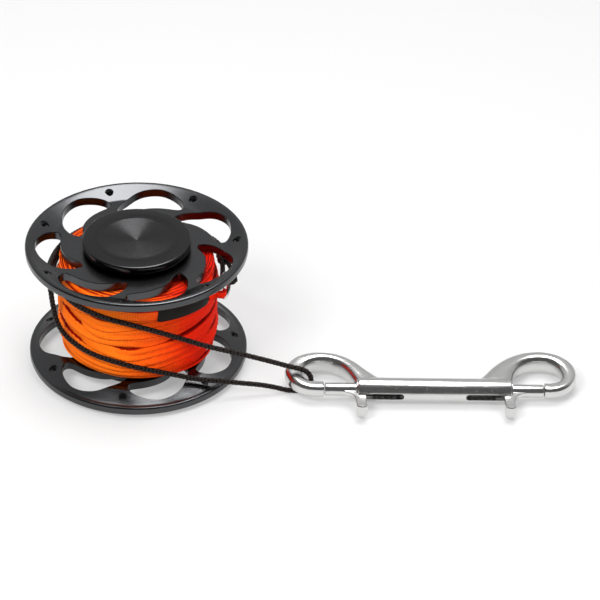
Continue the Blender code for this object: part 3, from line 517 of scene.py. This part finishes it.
def holeCutters(face, outward):
    thick, past, rise = flange["thickness"], flange["past"], dishAt(flange["rimCircle"])
    size, soft = flange["rimHole"], flange["rimChamfer"]
    wide = size + 2 * soft
    marks = [(0.0, thick + past), (wide, thick + past), (wide, thick + soft), (size, thick - soft),
             (size, soft), (wide, -soft), (wide, -past), (0.0, -past)]
    made = drills([(r, face + outward * (h + rise)) for r, h in marks], 28,
                  flange["cutouts"], flange["rimCircle"], flange["firstRimHole"])
    shank, deep = flange["screwShank"], flange["screwDepth"]
    wide = flange["screwHead"] + flange["screwTaper"] * past / deep
    marks = [(0.0, thick + past), (wide, thick + past), (shank, thick - deep), (shank, -past),
             (0.0, -past)]
    return made + drills([(r, face + outward * h) for r, h in marks], 24,
                         flange["screws"], flange["screwCircle"], 0.0)


makeFlange("upperFlange", flange["upper"], 1)
makeFlange("lowerFlange", flange["lower"], -1)
print("flanges carved")


# Finger caps, turned; the upper one has a shallow cone inside one fine groove
cap = {
    "steps": 240, **inMm(radius=21.4, thickness=3.1, under=53.2, round=0.8, recess=14.6, step=0.06,
    cone=1.15, coneStart=1.2, groove=16.3, grooveWidth=0.2, grooveDepth=0.08, neck=6.0, fillet=0.4,
    bore=4.0, floor=1.4, neckEnd=47.6, middle=28.15)}
# Radius and rise of the dimple at the cone's foot, then inset and rise of the lower edge, in mm
capDimple = ((0.0, -0.05), (0.45, -0.05), (0.6, 0.03))
capFoot = ((0.0, 0.5), (0.15, 0.15), (0.5, 0.0))


def makeCap(name, outward):
    low, top = cap["under"], cap["under"] + cap["thickness"]
    radius, soft, neck, fillet = cap["radius"], cap["round"], cap["neck"], cap["fillet"]
    marks = [(0.0, top)]
    if outward > 0:
        deep = top - cap["step"] - cap["cone"]
        marks = [(r * mm, deep + h * mm) for r, h in capDimple]
        marks += [(r, deep + cap["cone"] * r / cap["recess"])
                  for r in np.linspace(cap["coneStart"], cap["recess"], 16)]
        groove, half = cap["groove"], cap["grooveWidth"] / 2
        marks += [(cap["recess"] + cap["step"], top), (groove - half, top),
                  (groove, top - cap["grooveDepth"]), (groove + half, top)]
    marks += rounding(radius, top, soft, (0.0, 0.4, 0.8, 1.2, pi / 2))
    marks += [(radius - inset * mm, low + rise * mm) for inset, rise in capFoot]
    marks += [(neck + fillet, low), (neck, low - fillet), (neck, cap["neckEnd"]),
              (cap["bore"], cap["neckEnd"]), (cap["bore"], top - cap["floor"]),
              (0.0, top - cap["floor"])]
    if outward < 0:
        marks = [(r, 2 * cap["middle"] - h) for r, h in marks]
    item = smoothShade(lathe(name, marks, cap["steps"], turnedBlack), 24.0)
    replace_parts(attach(item, "finger_hold"), name[:5].lower() + "_finger_cap")


makeCap("upperFingerCap", 1)
makeCap("lowerFingerCap", -1)
print("caps turned")


# Wound line: one flat braid laid turn by turn over what lies under it
line = {
    "bins": 360, "stations": 144, "across": 15, **inMm(width=5.2, thickness=0.74, laid=0.46,
    sink=0.3, clear=0.12, core=28.2, hubBottom=8.7, hubTop=47.6, footTall=7.0, footIn=3.6,
    headTall=3.0, headIn=1.2, cell=0.2)}
# Middle of each turn in mm at these bearings, from the turns below to the ones that show
lineBearings = (-170, -150, -139, -128, -118, -106, -95, -84, -74, -62, -50, -32, -15)
lineUnder = (
    (44.6, 43.0), (42.0, 38.0), (36.5, 33.5), (31.5, 29.0), (27.0, 24.5), (22.5, 20.0),
    (18.0, 15.5), (13.5, 11.4), (11.4, 12.0))
lineTurns = (
    (15.2, 14.6, 14.2, 13.9, 13.7, 13.6, 13.5, 13.5, 13.6, 13.8, 14.1, 14.7, 15.2),
    (16.6, 16.8, 16.8, 16.7, 16.5, 16.3, 16.2, 16.4, 17.0, 18.2, 18.4, 18.2, 18.0),
    (20.8, 20.5, 20.2, 19.8, 19.4, 18.8, 18.2, 19.0, 19.7, 20.8, 21.9, 22.8, 23.2),
    (27.2, 26.7, 26.2, 24.6, 23.8, 22.8, 21.7, 22.6, 23.9, 24.3, 24.8, 25.5, 26.0),
    (30.0, 29.2, 28.2, 27.9, 27.8, 27.8, 27.8, 27.6, 28.3, 29.5, 30.6, 31.2, 31.0),
    (36.8, 36.0, 34.7, 32.7, 30.3, 30.4, 31.2, 31.9, 32.5, 32.9, 33.2, 33.6, 34.0),
    (37.5, 37.0, 36.0, 34.5, 33.5, 34.2, 35.7, 36.4, 37.0, 37.4, 37.6, 37.6, 37.4),
    (38.0, 37.7, 38.3, 38.8, 39.0, 39.2, 39.5, 39.8, 40.2, 40.6, 41.2, 42.0, 42.8),
    (44.0, 44.3, 44.5, 44.6, 44.6, 44.6, 44.6, 44.6, 44.7, 44.8, 44.8, 44.8, 44.8))


def roundedIn(height):
    # How far the winding draws in near its two ends
    lower = max(0.0, (line["hubBottom"] + line["footTall"] - height) / line["footTall"])
    upper = max(0.0, (height - line["hubTop"] + line["headTall"]) / line["headTall"])
    return line["footIn"] * lower ** 2 + line["headIn"] * upper ** 2


def linePath():
    bearings, heights = [], []
    for number, (left, right) in enumerate(lineUnder):
        bearings += [360.0 * number - 150, 360.0 * number - 30]
        heights += [left, right]
    for number, row in enumerate(lineTurns):
        bearings += [360.0 * (number + len(lineUnder)) + bearing for bearing in lineBearings]
        heights += row
    angle = np.arange(bearings[0], bearings[-1], 360.0 / line["stations"])
    height = np.interp(angle, bearings, heights)
    soft = np.ones(5) / 5
    for _ in range(2):
        height = np.convolve(np.pad(height, 2, "edge"), soft, "valid")
    half = line["width"] / 2 + line["clear"]
    return angle, np.clip(height * mm, line["hubBottom"] + half, line["hubTop"] - half)


def layLine():
    # The pile holds the radius reached so far, by bearing and by height
    angle, height = linePath()
    bins, cell, stations = line["bins"], line["cell"], line["stations"]
    rows = int((line["hubTop"] - line["hubBottom"]) / cell) + 1
    levels = line["hubBottom"] + cell * np.arange(rows)
    pile = np.tile([line["core"] - roundedIn(level) for level in levels], (bins, 1))
    spread = np.sin(np.linspace(-pi / 2, pi / 2, line["across"]))
    crown = 1 - 0.62 * np.abs(spread) ** 7
    rings, along, across, run = [], [], [], 0.0
    slope = np.gradient(height) / (np.gradient(np.radians(angle)) * line["core"])
    step = 2 * pi * line["core"] / stations
    wide = bins // stations + 1
    for index, (turn, middle) in enumerate(zip(angle, height)):
        tilt = atan(slope[index])
        offset = spread * line["width"] / 2
        level = middle + offset * cos(tilt)
        bearing = np.radians(turn) - offset * sin(tilt) / line["core"]
        column = (np.degrees(bearing) % 360).astype(int) % bins
        row = np.clip(((level - line["hubBottom"]) / cell).astype(int), 2, rows - 3)
        under = sum(pile[(column + shift) % bins, row] for shift in (-4, -2, 0, 2, 4)) * 0.14
        under = under + sum(pile[column, row + shift] for shift in (-2, 2)) * 0.15
        flat = np.interp(spread, (-1, 0, 1), np.percentile(under, (70, 75, 70)))
        under = 0.6 * under + 0.4 * flat
        top, low = under + line["thickness"] * crown, under - line["sink"]
        skin = zip(np.r_[top, low[::-1]], np.r_[bearing, bearing[::-1]],
                   np.r_[level, level[::-1]])
        rings.append([(r * cos(b), r * sin(b), h) for r, b, h in skin])
        run += step
        along += [run] * (2 * line["across"])
        across += list(spread) + list(spread[::-1])
        lowest, highest = ((edge - line["hubBottom"]) / cell for edge in (level[0], level[-1]))
        band = slice(max(0, int(lowest)), int(highest) + 1)
        first = int(degrees(bearing[len(bearing) // 2]) % 360) % bins
        target = np.interp(levels[band], level, under + line["laid"] * crown)
        for shift in range(wide):
            place = (first + shift) % bins
            pile[place, band] = np.maximum(pile[place, band], target)
    item = gridMesh("woundLine", rings, wovenLine)
    addValues(item, along=along, across=across)
    smoothShade(item, 50.0)
    reach = np.linalg.norm(np.array(rings)[..., :2], axis=2).max()
    print("wound line: %d turns, outermost %.2f mm"
          % (len(lineUnder) + len(lineTurns), reach / mm))
    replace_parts(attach(item, "spool"), "line_outer_layer")


layLine()
stack = {
    "turns": 10.5, "stations": 120, **inMm(inner=20.5, outer=30.4, wide=1.15, tall=1.5, sway=0.42,
    lift=0.16, depth=0.92)}


def layStack(name, level):
    # Edges of the inner turns, seen through the cutouts
    turn = np.linspace(0, 2 * pi * stack["turns"], int(stack["turns"] * stack["stations"]))
    share = turn / turn[-1]
    sway = (np.sin(2 * turn + 9 * share) + 0.7 * np.sin(3 * turn - 23 * share)
            + 0.5 * np.sin(5 * turn + 31 * share))
    lift = np.sin(turn + 17 * share) + 0.8 * np.sin(4 * turn - 12 * share)
    reach = stack["inner"] + (stack["outer"] - stack["inner"]) * share + stack["sway"] * sway
    points = [reach * np.cos(turn), reach * np.sin(turn), level + stack["lift"] * lift]
    points = np.stack(points, 1)
    item = flatTube(name, points, stack["tall"], stack["wide"], wovenLine, 2.3, 12)
    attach(item, "spool")


core = inMm(hub=16.3, end=0.9, lap=0.2, rib=1.1)


def makeCore():
    levels = np.linspace(line["hubBottom"] + core["end"], line["hubTop"] - core["end"], 40)
    outline = [(line["core"] - roundedIn(level) + core["lap"], level) for level in levels[::-1]]
    outline += [(core["hub"], levels[0]), (core["hub"], levels[-1])]
    item = lathe("lineCore", outline, 160, wovenLine, closed=True)
    spots = np.array([v.co for v in item.data.vertices])
    addValues(item, along=np.arctan2(spots[:, 1], spots[:, 0]) * line["core"],
              across=np.sin(spots[:, 2] / core["rib"]) * 0.9)
    smoothShade(item)
    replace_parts(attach(item, "spool"), "line_core")


makeCore()
layStack("upperTurns", line["hubTop"] - stack["depth"])
layStack("lowerTurns", line["hubBottom"] + stack["depth"])
print("line wound")


# Sleeve over the line's last turn, and the end loop past it
sleeve = {
    "start": -72.0, "end": -30.0, "pinch": 0.86, **inMm(startHeight=41.3, endHeight=40.2,
    middle=32.95, width=6.0, thickness=2.3, leadWidth=4.7, leadThickness=0.95)}
# Radius in mm, bearing in degrees and height in mm of the run that leads into the sleeve
leadSpots = ((31.0, -168.0, 44.7), (31.7, -146.0, 44.3), (32.2, -124.0, 43.3),
             (32.6, -104.0, 42.1), (32.8, -86.0, 41.5))


def sleeveAt(share):
    bearing = sleeve["start"] + share * (sleeve["end"] - sleeve["start"])
    height = sleeve["startHeight"] + share * (sleeve["endHeight"] - sleeve["startHeight"])
    return around(sleeve["middle"], bearing, height)


def makeSleeve():
    points = np.array([sleeveAt(share) for share in np.linspace(0, 1, 60)])

    def taper(share):
        full = min(1.0, share / 0.04, (1 - share) / 0.05)
        return sleeve["pinch"] + (1 - sleeve["pinch"]) * full
    item = flatTube("lineSleeve", points, sleeve["width"], sleeve["thickness"], shrinkSleeve,
                    taper=taper)
    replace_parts(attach(item, "spool"), "line_sleeve")


def makeLead():
    # The line's last run, from the top of the winding into the sleeve
    spots = [around(reach * mm, bearing, height * mm) for reach, bearing, height in leadSpots]
    spots += [sleeveAt(0.0), sleeveAt(0.05)]
    points, _ = evenPath(smoothPath(spots, 14), 0.8 * mm)
    item = flatTube("lineLead", points, sleeve["leadWidth"], sleeve["leadThickness"],
                    wovenLine, 3.4, 24)
    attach(item, "spool")


ringPart = {
    "angle": -16.416, "lean": 8.0, **inMm(reach=36.8, height=42.0, radius=4.6, wire=0.9)}
ringMiddle = around(ringPart["reach"], ringPart["angle"], ringPart["height"])
ringOut = around(1.0, ringPart["angle"], 0.0)
ringSide = Vector((-ringOut.y, ringOut.x, 0.0))


def makeRing():
    marks = [(ringPart["radius"] + ringPart["wire"] * cos(t), ringPart["wire"] * sin(t))
             for t in np.linspace(0, -2 * pi, 25)[:-1]]
    item = smoothShade(lathe("steelRing", marks, 96, brightSteel, closed=True), 60.0)
    lean = radians(ringPart["lean"])
    facing = ringOut * cos(lean) + Vector((0.0, 0.0, sin(lean)))
    item.location = ringMiddle
    item.rotation_euler = facing.to_track_quat("Z", "Y").to_euler()
    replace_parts(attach(item, "spool"), "steel_ring")


def hookRound(wire, reach, way, angles):
    # Points round the ring's wire, where something is looped through it
    turns = [radians(angle) for angle in angles]
    return [wire + reach * (ringOut * sin(t) + way * ringSide * cos(t)) for t in turns]


endLoop = inMm(reach=1.75, apart=0.72, drop=0.6, start=0.3, lead=1.2, width=2.8, thickness=0.8)


def makeEndLoop():
    # Out of the sleeve, round the ring and back into the sleeve
    end = sleeveAt(1.0)
    ahead = (end - sleeveAt(0.9)).normalized()
    out = Vector((end.x, end.y, 0.0)).normalized()
    wire = ringMiddle - ringSide * ringPart["radius"] - Vector((0.0, 0.0, endLoop["drop"]))
    apart, start = out * endLoop["apart"], end + ahead * endLoop["start"]
    lead = end + ahead * endLoop["lead"]
    bulge = lead + ahead * endLoop["lead"] + apart + out * endLoop["lead"]
    bulge.z = (lead.z + wire.z) / 2
    turns = hookRound(wire, endLoop["reach"], 1, (-65, -25, 15, 55, 95, 135, 170))
    spots = [start - apart, lead - apart, *turns, bulge, lead + apart, start + apart]
    points, _ = evenPath(smoothPath(spots, 12), 0.3 * mm)
    item = flatTube("lineEndLoop", points, endLoop["width"], endLoop["thickness"], wovenLine, 3.2)
    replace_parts(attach(item, "spool"), "line_end_loop")


makeSleeve()
makeLead()
makeRing()
makeEndLoop()
print("sleeve, ring and end loop made")


# Cord: round braid, laid along the same route as its plain solid, whose middle is given in mm
cord = {
    "sides": 28, "carriers": 4, **inMm(radius=1.15, step=0.22, pitch=12.4, relief=0.46, clear=0.06)}
cordRoute = (
    (32.8, 12.6, 40.85), (32.2, 14.9, 40.9), (29.3, 19.0, 40.9), (22.7, 24.8, 41.0),
    (11.4, 31.3, 41.0), (0.0, 33.3, 41.0), (-11.4, 31.3, 41.0), (-21.4, 25.5, 41.0),
    (-28.9, 16.6, 41.0), (-32.8, 5.8, 41.1), (-32.9, -5.4, 41.3), (-29.9, -14.6, 41.4),
    (-26.0, -20.6, 41.1), (-20.4, -26.2, 40.5), (-12.6, -30.7, 39.9), (-4.4, -32.9, 38.8),
    (3.5, -33.0, 36.7), (11.0, -31.7, 33.5), (18.7, -30.4, 30.1), (28.7, -28.6, 25.5),
    (42.2, -26.0, 20.2), (54.0, -23.7, 15.3), (61.1, -22.3, 12.2), (66.2, -21.5, 10.3),
    (69.0, -21.5, 8.7), (70.4, -21.9, 6.1), (70.0, -22.5, 3.5), (67.9, -23.2, 1.8),
    (64.8, -23.7, 1.22), (61.1, -24.1, 1.6), (56.2, -24.4, 3.0), (50.3, -25.2, 4.6),
    (42.3, -26.5, 6.2), (34.3, -27.9, 7.9), (26.2, -29.2, 9.4), (18.6, -30.4, 11.8),
    (11.0, -31.7, 14.3), (3.4, -33.2, 17.0), (-6.6, -32.7, 19.4), (-16.9, -28.8, 20.6),
    (-22.8, -25.1, 21.9), (-27.1, -22.1, 24.1), (-29.7, -19.4, 26.4), (-31.4, -16.8, 29.5),
    (-32.4, -15.0, 33.8), (-33.1, -13.6, 38.4), (-34.1, -10.5, 42.0), (-34.7, -6.2, 43.7),
    (-34.1, 1.0, 44.1), (-32.0, 9.8, 44.1), (-27.0, 19.7, 44.0), (-18.5, 27.9, 43.9),
    (-7.5, 32.6, 43.9), (4.8, 33.2, 43.9), (16.4, 29.1, 43.8), (24.3, 23.5, 43.8),
    (29.3, 19.0, 43.8), (32.2, 14.9, 43.8), (32.8, 12.6, 43.75))
cordRoute = [tuple(round(part * mm, 7) for part in spot) for spot in cordRoute]


def braidTube(name, points, radius, finish):
    # Strands of both hands pass over and under each other round the tube
    points, run = evenPath(points, cord["step"])
    high, out = pathFrames(points)
    turn = np.linspace(0, 2 * pi, cord["sides"], endpoint=False)
    strands = cord["carriers"] * turn[None]
    lay = 2 * pi * cord["carriers"] * run[:, None] / cord["pitch"]
    right, left = strands + lay, strands - lay
    over = 0.5 + 0.5 * np.sin((right + left) / 2) * np.sin((right - left) / 2)
    weave = np.maximum(np.abs(np.sin(right / 2)) * over, np.abs(np.sin(left / 2)) * (1 - over))
    size = radius - cord["relief"] * (1 - weave)
    rings = (points[:, None] + high[:, None] * (np.cos(turn)[None, :, None] * size[..., None])
             + out[:, None] * (np.sin(turn)[None, :, None] * size[..., None]))
    item = gridMesh(name, rings, finish)
    addValues(item, over=weave)
    return smoothShade(item, 80.0), points


def makeCord():
    route = smoothPath(cordRoute, 12)
    route[:, 2] = np.maximum(route[:, 2], cord["radius"] + cord["clear"])
    item, points = braidTube("cordLoop", route, cord["radius"], braidedCord)
    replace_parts(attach(item, "spool"), "cord_loop")
    return item, points


knot = {
    "place": (34.85 * mm, 14.0, 42.3 * mm), "turns": 3.1, **inMm(half=2.55, reach=1.62, wrap=1.12,
    bight=1.1, bightReach=2.65, bightLead=5.15, apart=1.35, inset=1.0, insetApart=1.2)}


def makeKnot():
    # Three turns pulled tight round both strands, and the bight that holds the ring
    middle = around(*knot["place"])
    out = Vector((middle.x, middle.y, 0.0)).normalized()
    side = Vector((-out.y, out.x, 0.0))
    up, reach = Vector((0.0, 0.0, 1.0)), knot["reach"]
    turns = np.linspace(0, 2 * pi * knot["turns"], 90)
    wraps = np.array([middle + side * (-knot["half"] + 2 * knot["half"] * t / turns[-1])
                      + out * reach * cos(t) + up * reach * sin(t) for t in turns])
    first, _ = braidTube("knotWraps", wraps, knot["wrap"], pulledCord)
    wire = ringMiddle + ringSide * ringPart["radius"]
    lead, inner = middle - side * knot["bightLead"], middle - side * knot["inset"]
    apart, innerApart = out * knot["apart"], out * knot["insetApart"]
    turns = hookRound(wire, knot["bightReach"], -1, (-90, -50, -10, 30, 65, 90))
    spots = [inner - innerApart, lead - apart, *turns, lead + apart, inner + innerApart]
    second, _ = braidTube("knotBight", smoothPath(spots, 10), knot["bight"], braidedCord)
    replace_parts(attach(first, "spool"), "cord_knot")
    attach(second, "spool")
    return first, second


cordItem, cordLine = makeCord()
knotPieces = makeKnot()
print("cord braided")


# Double-ended snap, built about the middle of its barrel and laid in place
snap = {
    "place": (119.5 * mm, -25.8 * mm), "yaw": 2.67, "pitch": 0.5, "eyePower": 2.7,
    **inMm(barrel=4.85, half=30.6, bore=2.92, boreClear=0.12, wall=4.0, round=0.6, boss=0.5,
    slotEnd=12.3, slotWidth=2.7, past=2, gateRadius=2.6, gateEnd=43.607, gateLength=19.0,
    gateRound=0.45, lever=29.4)}
# Depth under the barrel's skin and reach past its end, in mm, of the chamfer at its mouth
barrelMouth = ((0.9, 0.5), (0.7, 0.35), (0.65, 0.0))
# Size, and how far back in mm, of the rings with which an eye starts inside the barrel
eyeStart = ((0.80, 0.45), (0.95, 0.28))
# Outer edge, inner edge and height of the eyes, in mm past the barrel's end and off its middle
eyeLeft = (
    (13.75, -2.8, 13.75, 2.8, 5.6), (16.6, -2.8, 16.4, 2.8, 5.6), (19.8, -2.4, 18.4, 3.1, 5.6),
    (23.2, -0.8, 20.1, 4.3, 5.8), (26.4, 2.5, 21.2, 6.1, 6.1), (28.2, 6.2, 21.7, 8.3, 6.5),
    (28.7, 10.2, 21.3, 10.6, 7.0), (27.4, 14.1, 20.1, 12.5, 7.5), (24.3, 17.5, 18.2, 13.9, 8.1),
    (19.9, 19.5, 16.0, 14.7, 8.5), (14.3, 20.2, 13.4, 14.9, 8.7), (8.6, 19.4, 10.2, 14.3, 8.7),
    (3.8, 17.2, 7.3, 12.5, 8.7), (-0.4, 13.6, 4.8, 9.7, 8.7), (-3.6, 9.8, 3.1, 6.6, 8.6),
    (-6.8, 6.4, 1.8, 3.4, 8.4), (-9.8, 3.9, 0.6, 0.3, 8.2), (-13.0, 2.4, -1.6, -2.2, 7.0),
    (-17.0, 1.4, -6.5, -2.6, 4.5))
eyeRight = (
    (13.75, -2.6, 13.75, 2.9, 5.6), (16.6, -2.5, 16.4, 3.0, 5.6), (19.6, -1.8, 18.4, 3.4, 5.6),
    (22.8, 0.1, 20.0, 4.7, 5.8), (25.4, 3.2, 20.9, 6.4, 6.1), (27.0, 6.6, 21.2, 8.5, 6.5),
    (27.4, 10.4, 20.9, 10.8, 7.0), (26.4, 14.6, 19.9, 12.9, 7.5), (23.5, 18.4, 18.1, 14.8, 8.1),
    (19.1, 21.1, 15.9, 15.9, 8.5), (13.4, 22.2, 13.1, 16.3, 8.7), (7.6, 21.5, 9.8, 15.8, 8.7),
    (2.3, 19.4, 6.6, 14.2, 8.7), (-2.7, 16.0, 4.0, 11.7, 8.7), (-6.9, 11.9, 2.3, 8.4, 8.6),
    (-9.9, 8.0, 1.4, 4.6, 8.4), (-12.6, 4.8, 0.6, 0.8, 8.2), (-15.6, 2.8, -1.6, -2.0, 7.0),
    (-19.0, 1.4, -6.5, -2.6, 4.5))
snapHeight = (snap["barrel"] * cos(radians(snap["pitch"]))
              + snap["half"] * sin(radians(snap["pitch"])))
snapPlace = Matrix.LocRotScale(Vector((*snap["place"], snapHeight)),
                               Matrix.Rotation(radians(snap["yaw"]), 3, "Z")
                               @ Matrix.Rotation(radians(snap["pitch"]), 3, "Y"), None)
alongSnap = Matrix.Rotation(radians(90.0), 4, "Y")


def eyeLoft(way):
    rows = np.array(eyeLeft if way < 0 else eyeRight) * mm
    outer = smoothPath(rows[:, (0, 1, 4)], 5)
    inner = smoothPath(rows[:, (2, 3, 4)], 5)
    tall = outer[:, 2]
    outer, inner = outer[:, :2], inner[:, :2]
    sides, power = 40, snap["eyePower"]

    def ring(index, size=1.0, shift=0.0):
        middle = (outer[index] + inner[index]) / 2
        reach = (inner[index] - outer[index]) / 2 * size
        made = []
        for side in range(sides):
            turn = 2 * pi * (side + 0.5) / sides
            a = middle + reach * squarer(cos(turn), power)
            made.append((way * (snap["half"] + a[0] - shift), a[1],
                         squarer(sin(turn), power) * tall[index] / 2 * size))
        return made
    rings = [ring(0, size, back * mm) for size, back in eyeStart]
    return gridMesh("eye", rings + [ring(index) for index in range(len(outer))])


def makeSnapBody():
    half, soft, size, boss = snap["half"], snap["round"], snap["barrel"], snap["boss"]
    corner = [(size - deep * mm, half + reach * mm) for deep, reach in barrelMouth]
    corner += rounding(size, half, soft, (0.5, 1.0, 1.571))
    outline = [(0.0, half + boss), *corner, *[(r, -h) for r, h in corner[::-1]],
               (0.0, -half - boss)]
    item = lathe("snapBody", outline, 96, castSteel)
    item.data.transform(alongSnap)
    carve(item, eyeLoft(-1), "UNION")
    carve(item, eyeLoft(1), "UNION")
    far = snap["gateEnd"] + snap["boreClear"]
    for low, high in ((-far, -snap["wall"] / 2), (snap["wall"] / 2, far)):
        outline = [(0.0, high), (snap["bore"], high), (snap["bore"], low), (0.0, low)]
        bore = lathe("cutter", outline, 40)
        bore.data.transform(alongSnap)
        carve(item, bore)
    for way in (-1, 1):
        carve(item, slotCutter(way))
    item.matrix_world = snapPlace
    smoothShade(item, 34.0)
    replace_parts(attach(item, "spool"), "snap_body")


def slotCutter(way):
    # Slot with a round inner end
    half, past = snap["slotWidth"] / 2, snap["past"]
    spots = [(snap["slotEnd"] + half - half * sin(t), -half * cos(t))
             for t in np.linspace(0, pi, 13)]
    spots += [(snap["half"] + past, half), (snap["half"] + past, -half)]
    rings = [[(way * x, y, z) for x, z in spots] for y in (-snap["barrel"] - past, 0.0)]
    return gridMesh("cutter", rings)


lever = inMm(stem=4.4, stemThick=2.3, reach=14.3, gusset=5.2, stemInset=1.9, postInset=1.8,
             round=0.45)
# Half width, half depth and height of the thumb post, in mm
leverPost = (
    (0.9, 0.7, 2.15), (1.75, 1.2, 2.1), (2.05, 1.5, 1.85), (2.2, 1.65, 1.3), (2.3, 1.75, 0.2),
    (2.3, 1.8, -1.2), (2.15, 1.7, -2.4), (1.75, 1.4, -3.3), (1.1, 0.9, -3.85), (0.4, 0.3, -4.05))


def makeGate(name, way):
    # Bolt with a flat stem that flows out of it and a thumb post at the stem's end
    near = snap["gateEnd"] - snap["gateLength"] - snap["lever"]
    far = snap["gateEnd"] - snap["lever"]
    soft, size = snap["gateRound"], snap["gateRadius"]
    corner = rounding(size, far, soft, (0.0, 0.5, 1.0, 1.571))
    item = lathe(name, [(0.0, far), *corner, (size, near), (0.0, near)], 56, castSteel)
    item.data.transform(Matrix.Rotation(radians(90.0 * way), 4, "Y"))
    stem, root, gusset = lever["stem"] / 2, size / 2, lever["gusset"]
    foot = lever["reach"] - lever["stemInset"]
    marks = [(-stem, -root), (-stem * 0.8, -foot), (stem * 0.8, -foot), (stem, -size - gusset)]
    marks += [(stem + gusset * (1 - cos(t)), -size - gusset * (1 - sin(t)))
              for t in np.linspace(0.2, 1.4, 6)] + [(stem + gusset * 1.1, -root)]
    thick = lever["stemThick"] / 2
    shank = gridMesh("stem", [[(way * x, y, z) for x, y in marks] for z in (-thick, thick)])
    edge = shank.modifiers.new("edge", "BEVEL")
    edge.width, edge.segments = lever["round"], 3
    edge.limit_method, edge.angle_limit = "ANGLE", 0.9
    carve(item, settle(shank), "UNION")
    middle = -lever["reach"] + lever["postInset"]
    turn = np.linspace(0, 2 * pi, 32, endpoint=False)
    rings = [[(wide * mm * cos(t), middle + deep * mm * sin(t), level * mm)
              for t in turn] for wide, deep, level in leverPost]
    carve(item, gridMesh("post", rings), "UNION")
    item.matrix_world = snapPlace @ Matrix.Translation((way * snap["lever"], 0.0, 0.0))
    smoothShade(item, 34.0)
    label = "left" if way < 0 else "right"
    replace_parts(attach(item, "gate_" + label), "gate_bolt_" + label)


spring = {"gap": 0.6 * mm, "turns": 9, "stations": 260, "reach": 2.2 * mm, "wire": 0.3 * mm}


def makeSpring(name, way):
    low = snap["wall"] / 2 + spring["gap"]
    high = snap["gateEnd"] - snap["gateLength"] - spring["gap"]
    turns = np.linspace(0, 2 * pi * spring["turns"], spring["stations"])
    points = np.stack([way * (low + (high - low) * turns / turns[-1]),
                       spring["reach"] * np.cos(turns), spring["reach"] * np.sin(turns)], 1)
    up, out = pathFrames(points, (1.0, 0.0, 0.0))
    turn = np.linspace(0, 2 * pi, 10, endpoint=False)[None, :, None]
    about = up[:, None] * np.cos(turn) + out[:, None] * np.sin(turn)
    rings = points[:, None] + spring["wire"] * about
    item = smoothShade(gridMesh(name, rings, brightSteel), 60.0)
    item.matrix_world = snapPlace
    label = "left" if way < 0 else "right"
    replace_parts(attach(item, "spool"), "gate_spring_" + label)
    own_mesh(item)


makeSnapBody()
for name, way in (("gateLeft", -1), ("gateRight", 1)):
    makeGate(name, way)
    makeSpring(name + "Spring", way)
print("snap made")


# CAD nodes that stay, under the caps and inside the hub
def dress(finish, *names):
    for name in names:
        nodes[name].data.materials.clear()
        nodes[name].data.materials.append(finish)


dress(anodised, "hub_drum")
dress(brightSteel, "axle", "axle_spacer")
for side in ("upper", "lower"):
    dress(brightSteel, *["%s_flange_screw_%d" % (side, number) for number in range(1, 5)])
    dress(brightSteel, *["%s_%s" % (side, part) for part in
                         ("bearing_outer_race", "bearing_inner_race", "ball_cage")])


# Pale floor, soft boxes and a plain sky
studio = {"floor": (0.34, 0.34, 0.34), "reach": 4.0, "glow": 0.35, "back": 0.52,
          "front": 0.10, "turnover": 0.12, "change": 2.2, "aim": (0.02, 0.0, 0.03),
          "boxes": (("overheadBox", (0.15, 0.22, 1.0), (0.70, 0.54), 11.0, True),
                    ("leftBox", (-0.46, -0.54, 0.86), (0.5, 0.5), 13.0, False),
                    ("rightBox", (0.72, -0.70, 0.50), (0.5, 0.5), 5.5, False))}


def makeFloor():
    data = bpy.data.meshes.new("floor")
    size = studio["reach"]
    corners = [(-size, -size, 0), (size, -size, 0), (size, size, 0), (-size, size, 0)]
    data.from_pydata(corners, [], [(0, 1, 2, 3)])
    made = Finish("paleFloor", Base_Color=studio["floor"], Roughness=0.9, Specular_IOR_Level=0.0)
    # The glow is only for looks, so it lights nothing but what mirrors it
    tree = made.tree
    path = tree.nodes.new("ShaderNodeLightPath")
    seen = (Wire(tree, path.outputs["Is Camera Ray"]) + Wire(tree, path.outputs["Is Glossy Ray"])
            + Wire(tree, path.outputs["Is Transmission Ray"])).kept()
    glow = tree.nodes.new("ShaderNodeEmission")
    glow.inputs["Strength"].default_value = studio["glow"]
    both, mixed = tree.nodes.new("ShaderNodeAddShader"), tree.nodes.new("ShaderNodeMixShader")
    plug(tree, mixed.inputs[0], seen)
    for start, end in ((made.shader, both.inputs[0]), (glow, both.inputs[1]),
                       (made.shader, mixed.inputs[1]), (both, mixed.inputs[2]),
                       (mixed, tree.nodes["Material Output"].inputs[0])):
        tree.links.new(start.outputs[0], end)
    show("floor", data, made.made)


def makeSky():
    # Dim in front, paler behind
    world = bpy.data.worlds.new("studioSky")
    world.use_nodes = True
    scene.world = world
    tree = world.node_tree
    coord, split = tree.nodes.new("ShaderNodeTexCoord"), tree.nodes.new("ShaderNodeSeparateXYZ")
    tree.links.new(coord.outputs["Generated"], split.inputs[0])
    behind = ((Wire(tree, split.outputs[1]) + studio["turnover"]) * studio["change"]).kept()
    plug(tree, tree.nodes["Background"].inputs["Strength"],
         studio["front"] + behind * (studio["back"] - studio["front"]))
    tree.nodes["Background"].inputs["Color"].default_value = (1.0, 1.0, 1.0, 1.0)


def makeBoxes():
    for name, place, size, power, mirrored in studio["boxes"]:
        data = bpy.data.lights.new(name, "AREA")
        data.shape, data.size, data.size_y, data.energy = "RECTANGLE", size[0], size[1], power
        item = bpy.data.objects.new(name, data)
        item.location = place
        toward = Vector(studio["aim"]) - Vector(place)
        item.rotation_euler = toward.to_track_quat("-Z", "Y").to_euler()
        item.visible_glossy = mirrored
        scene.collection.objects.link(item)


makeFloor()
makeSky()
makeBoxes()
print("studio lit")
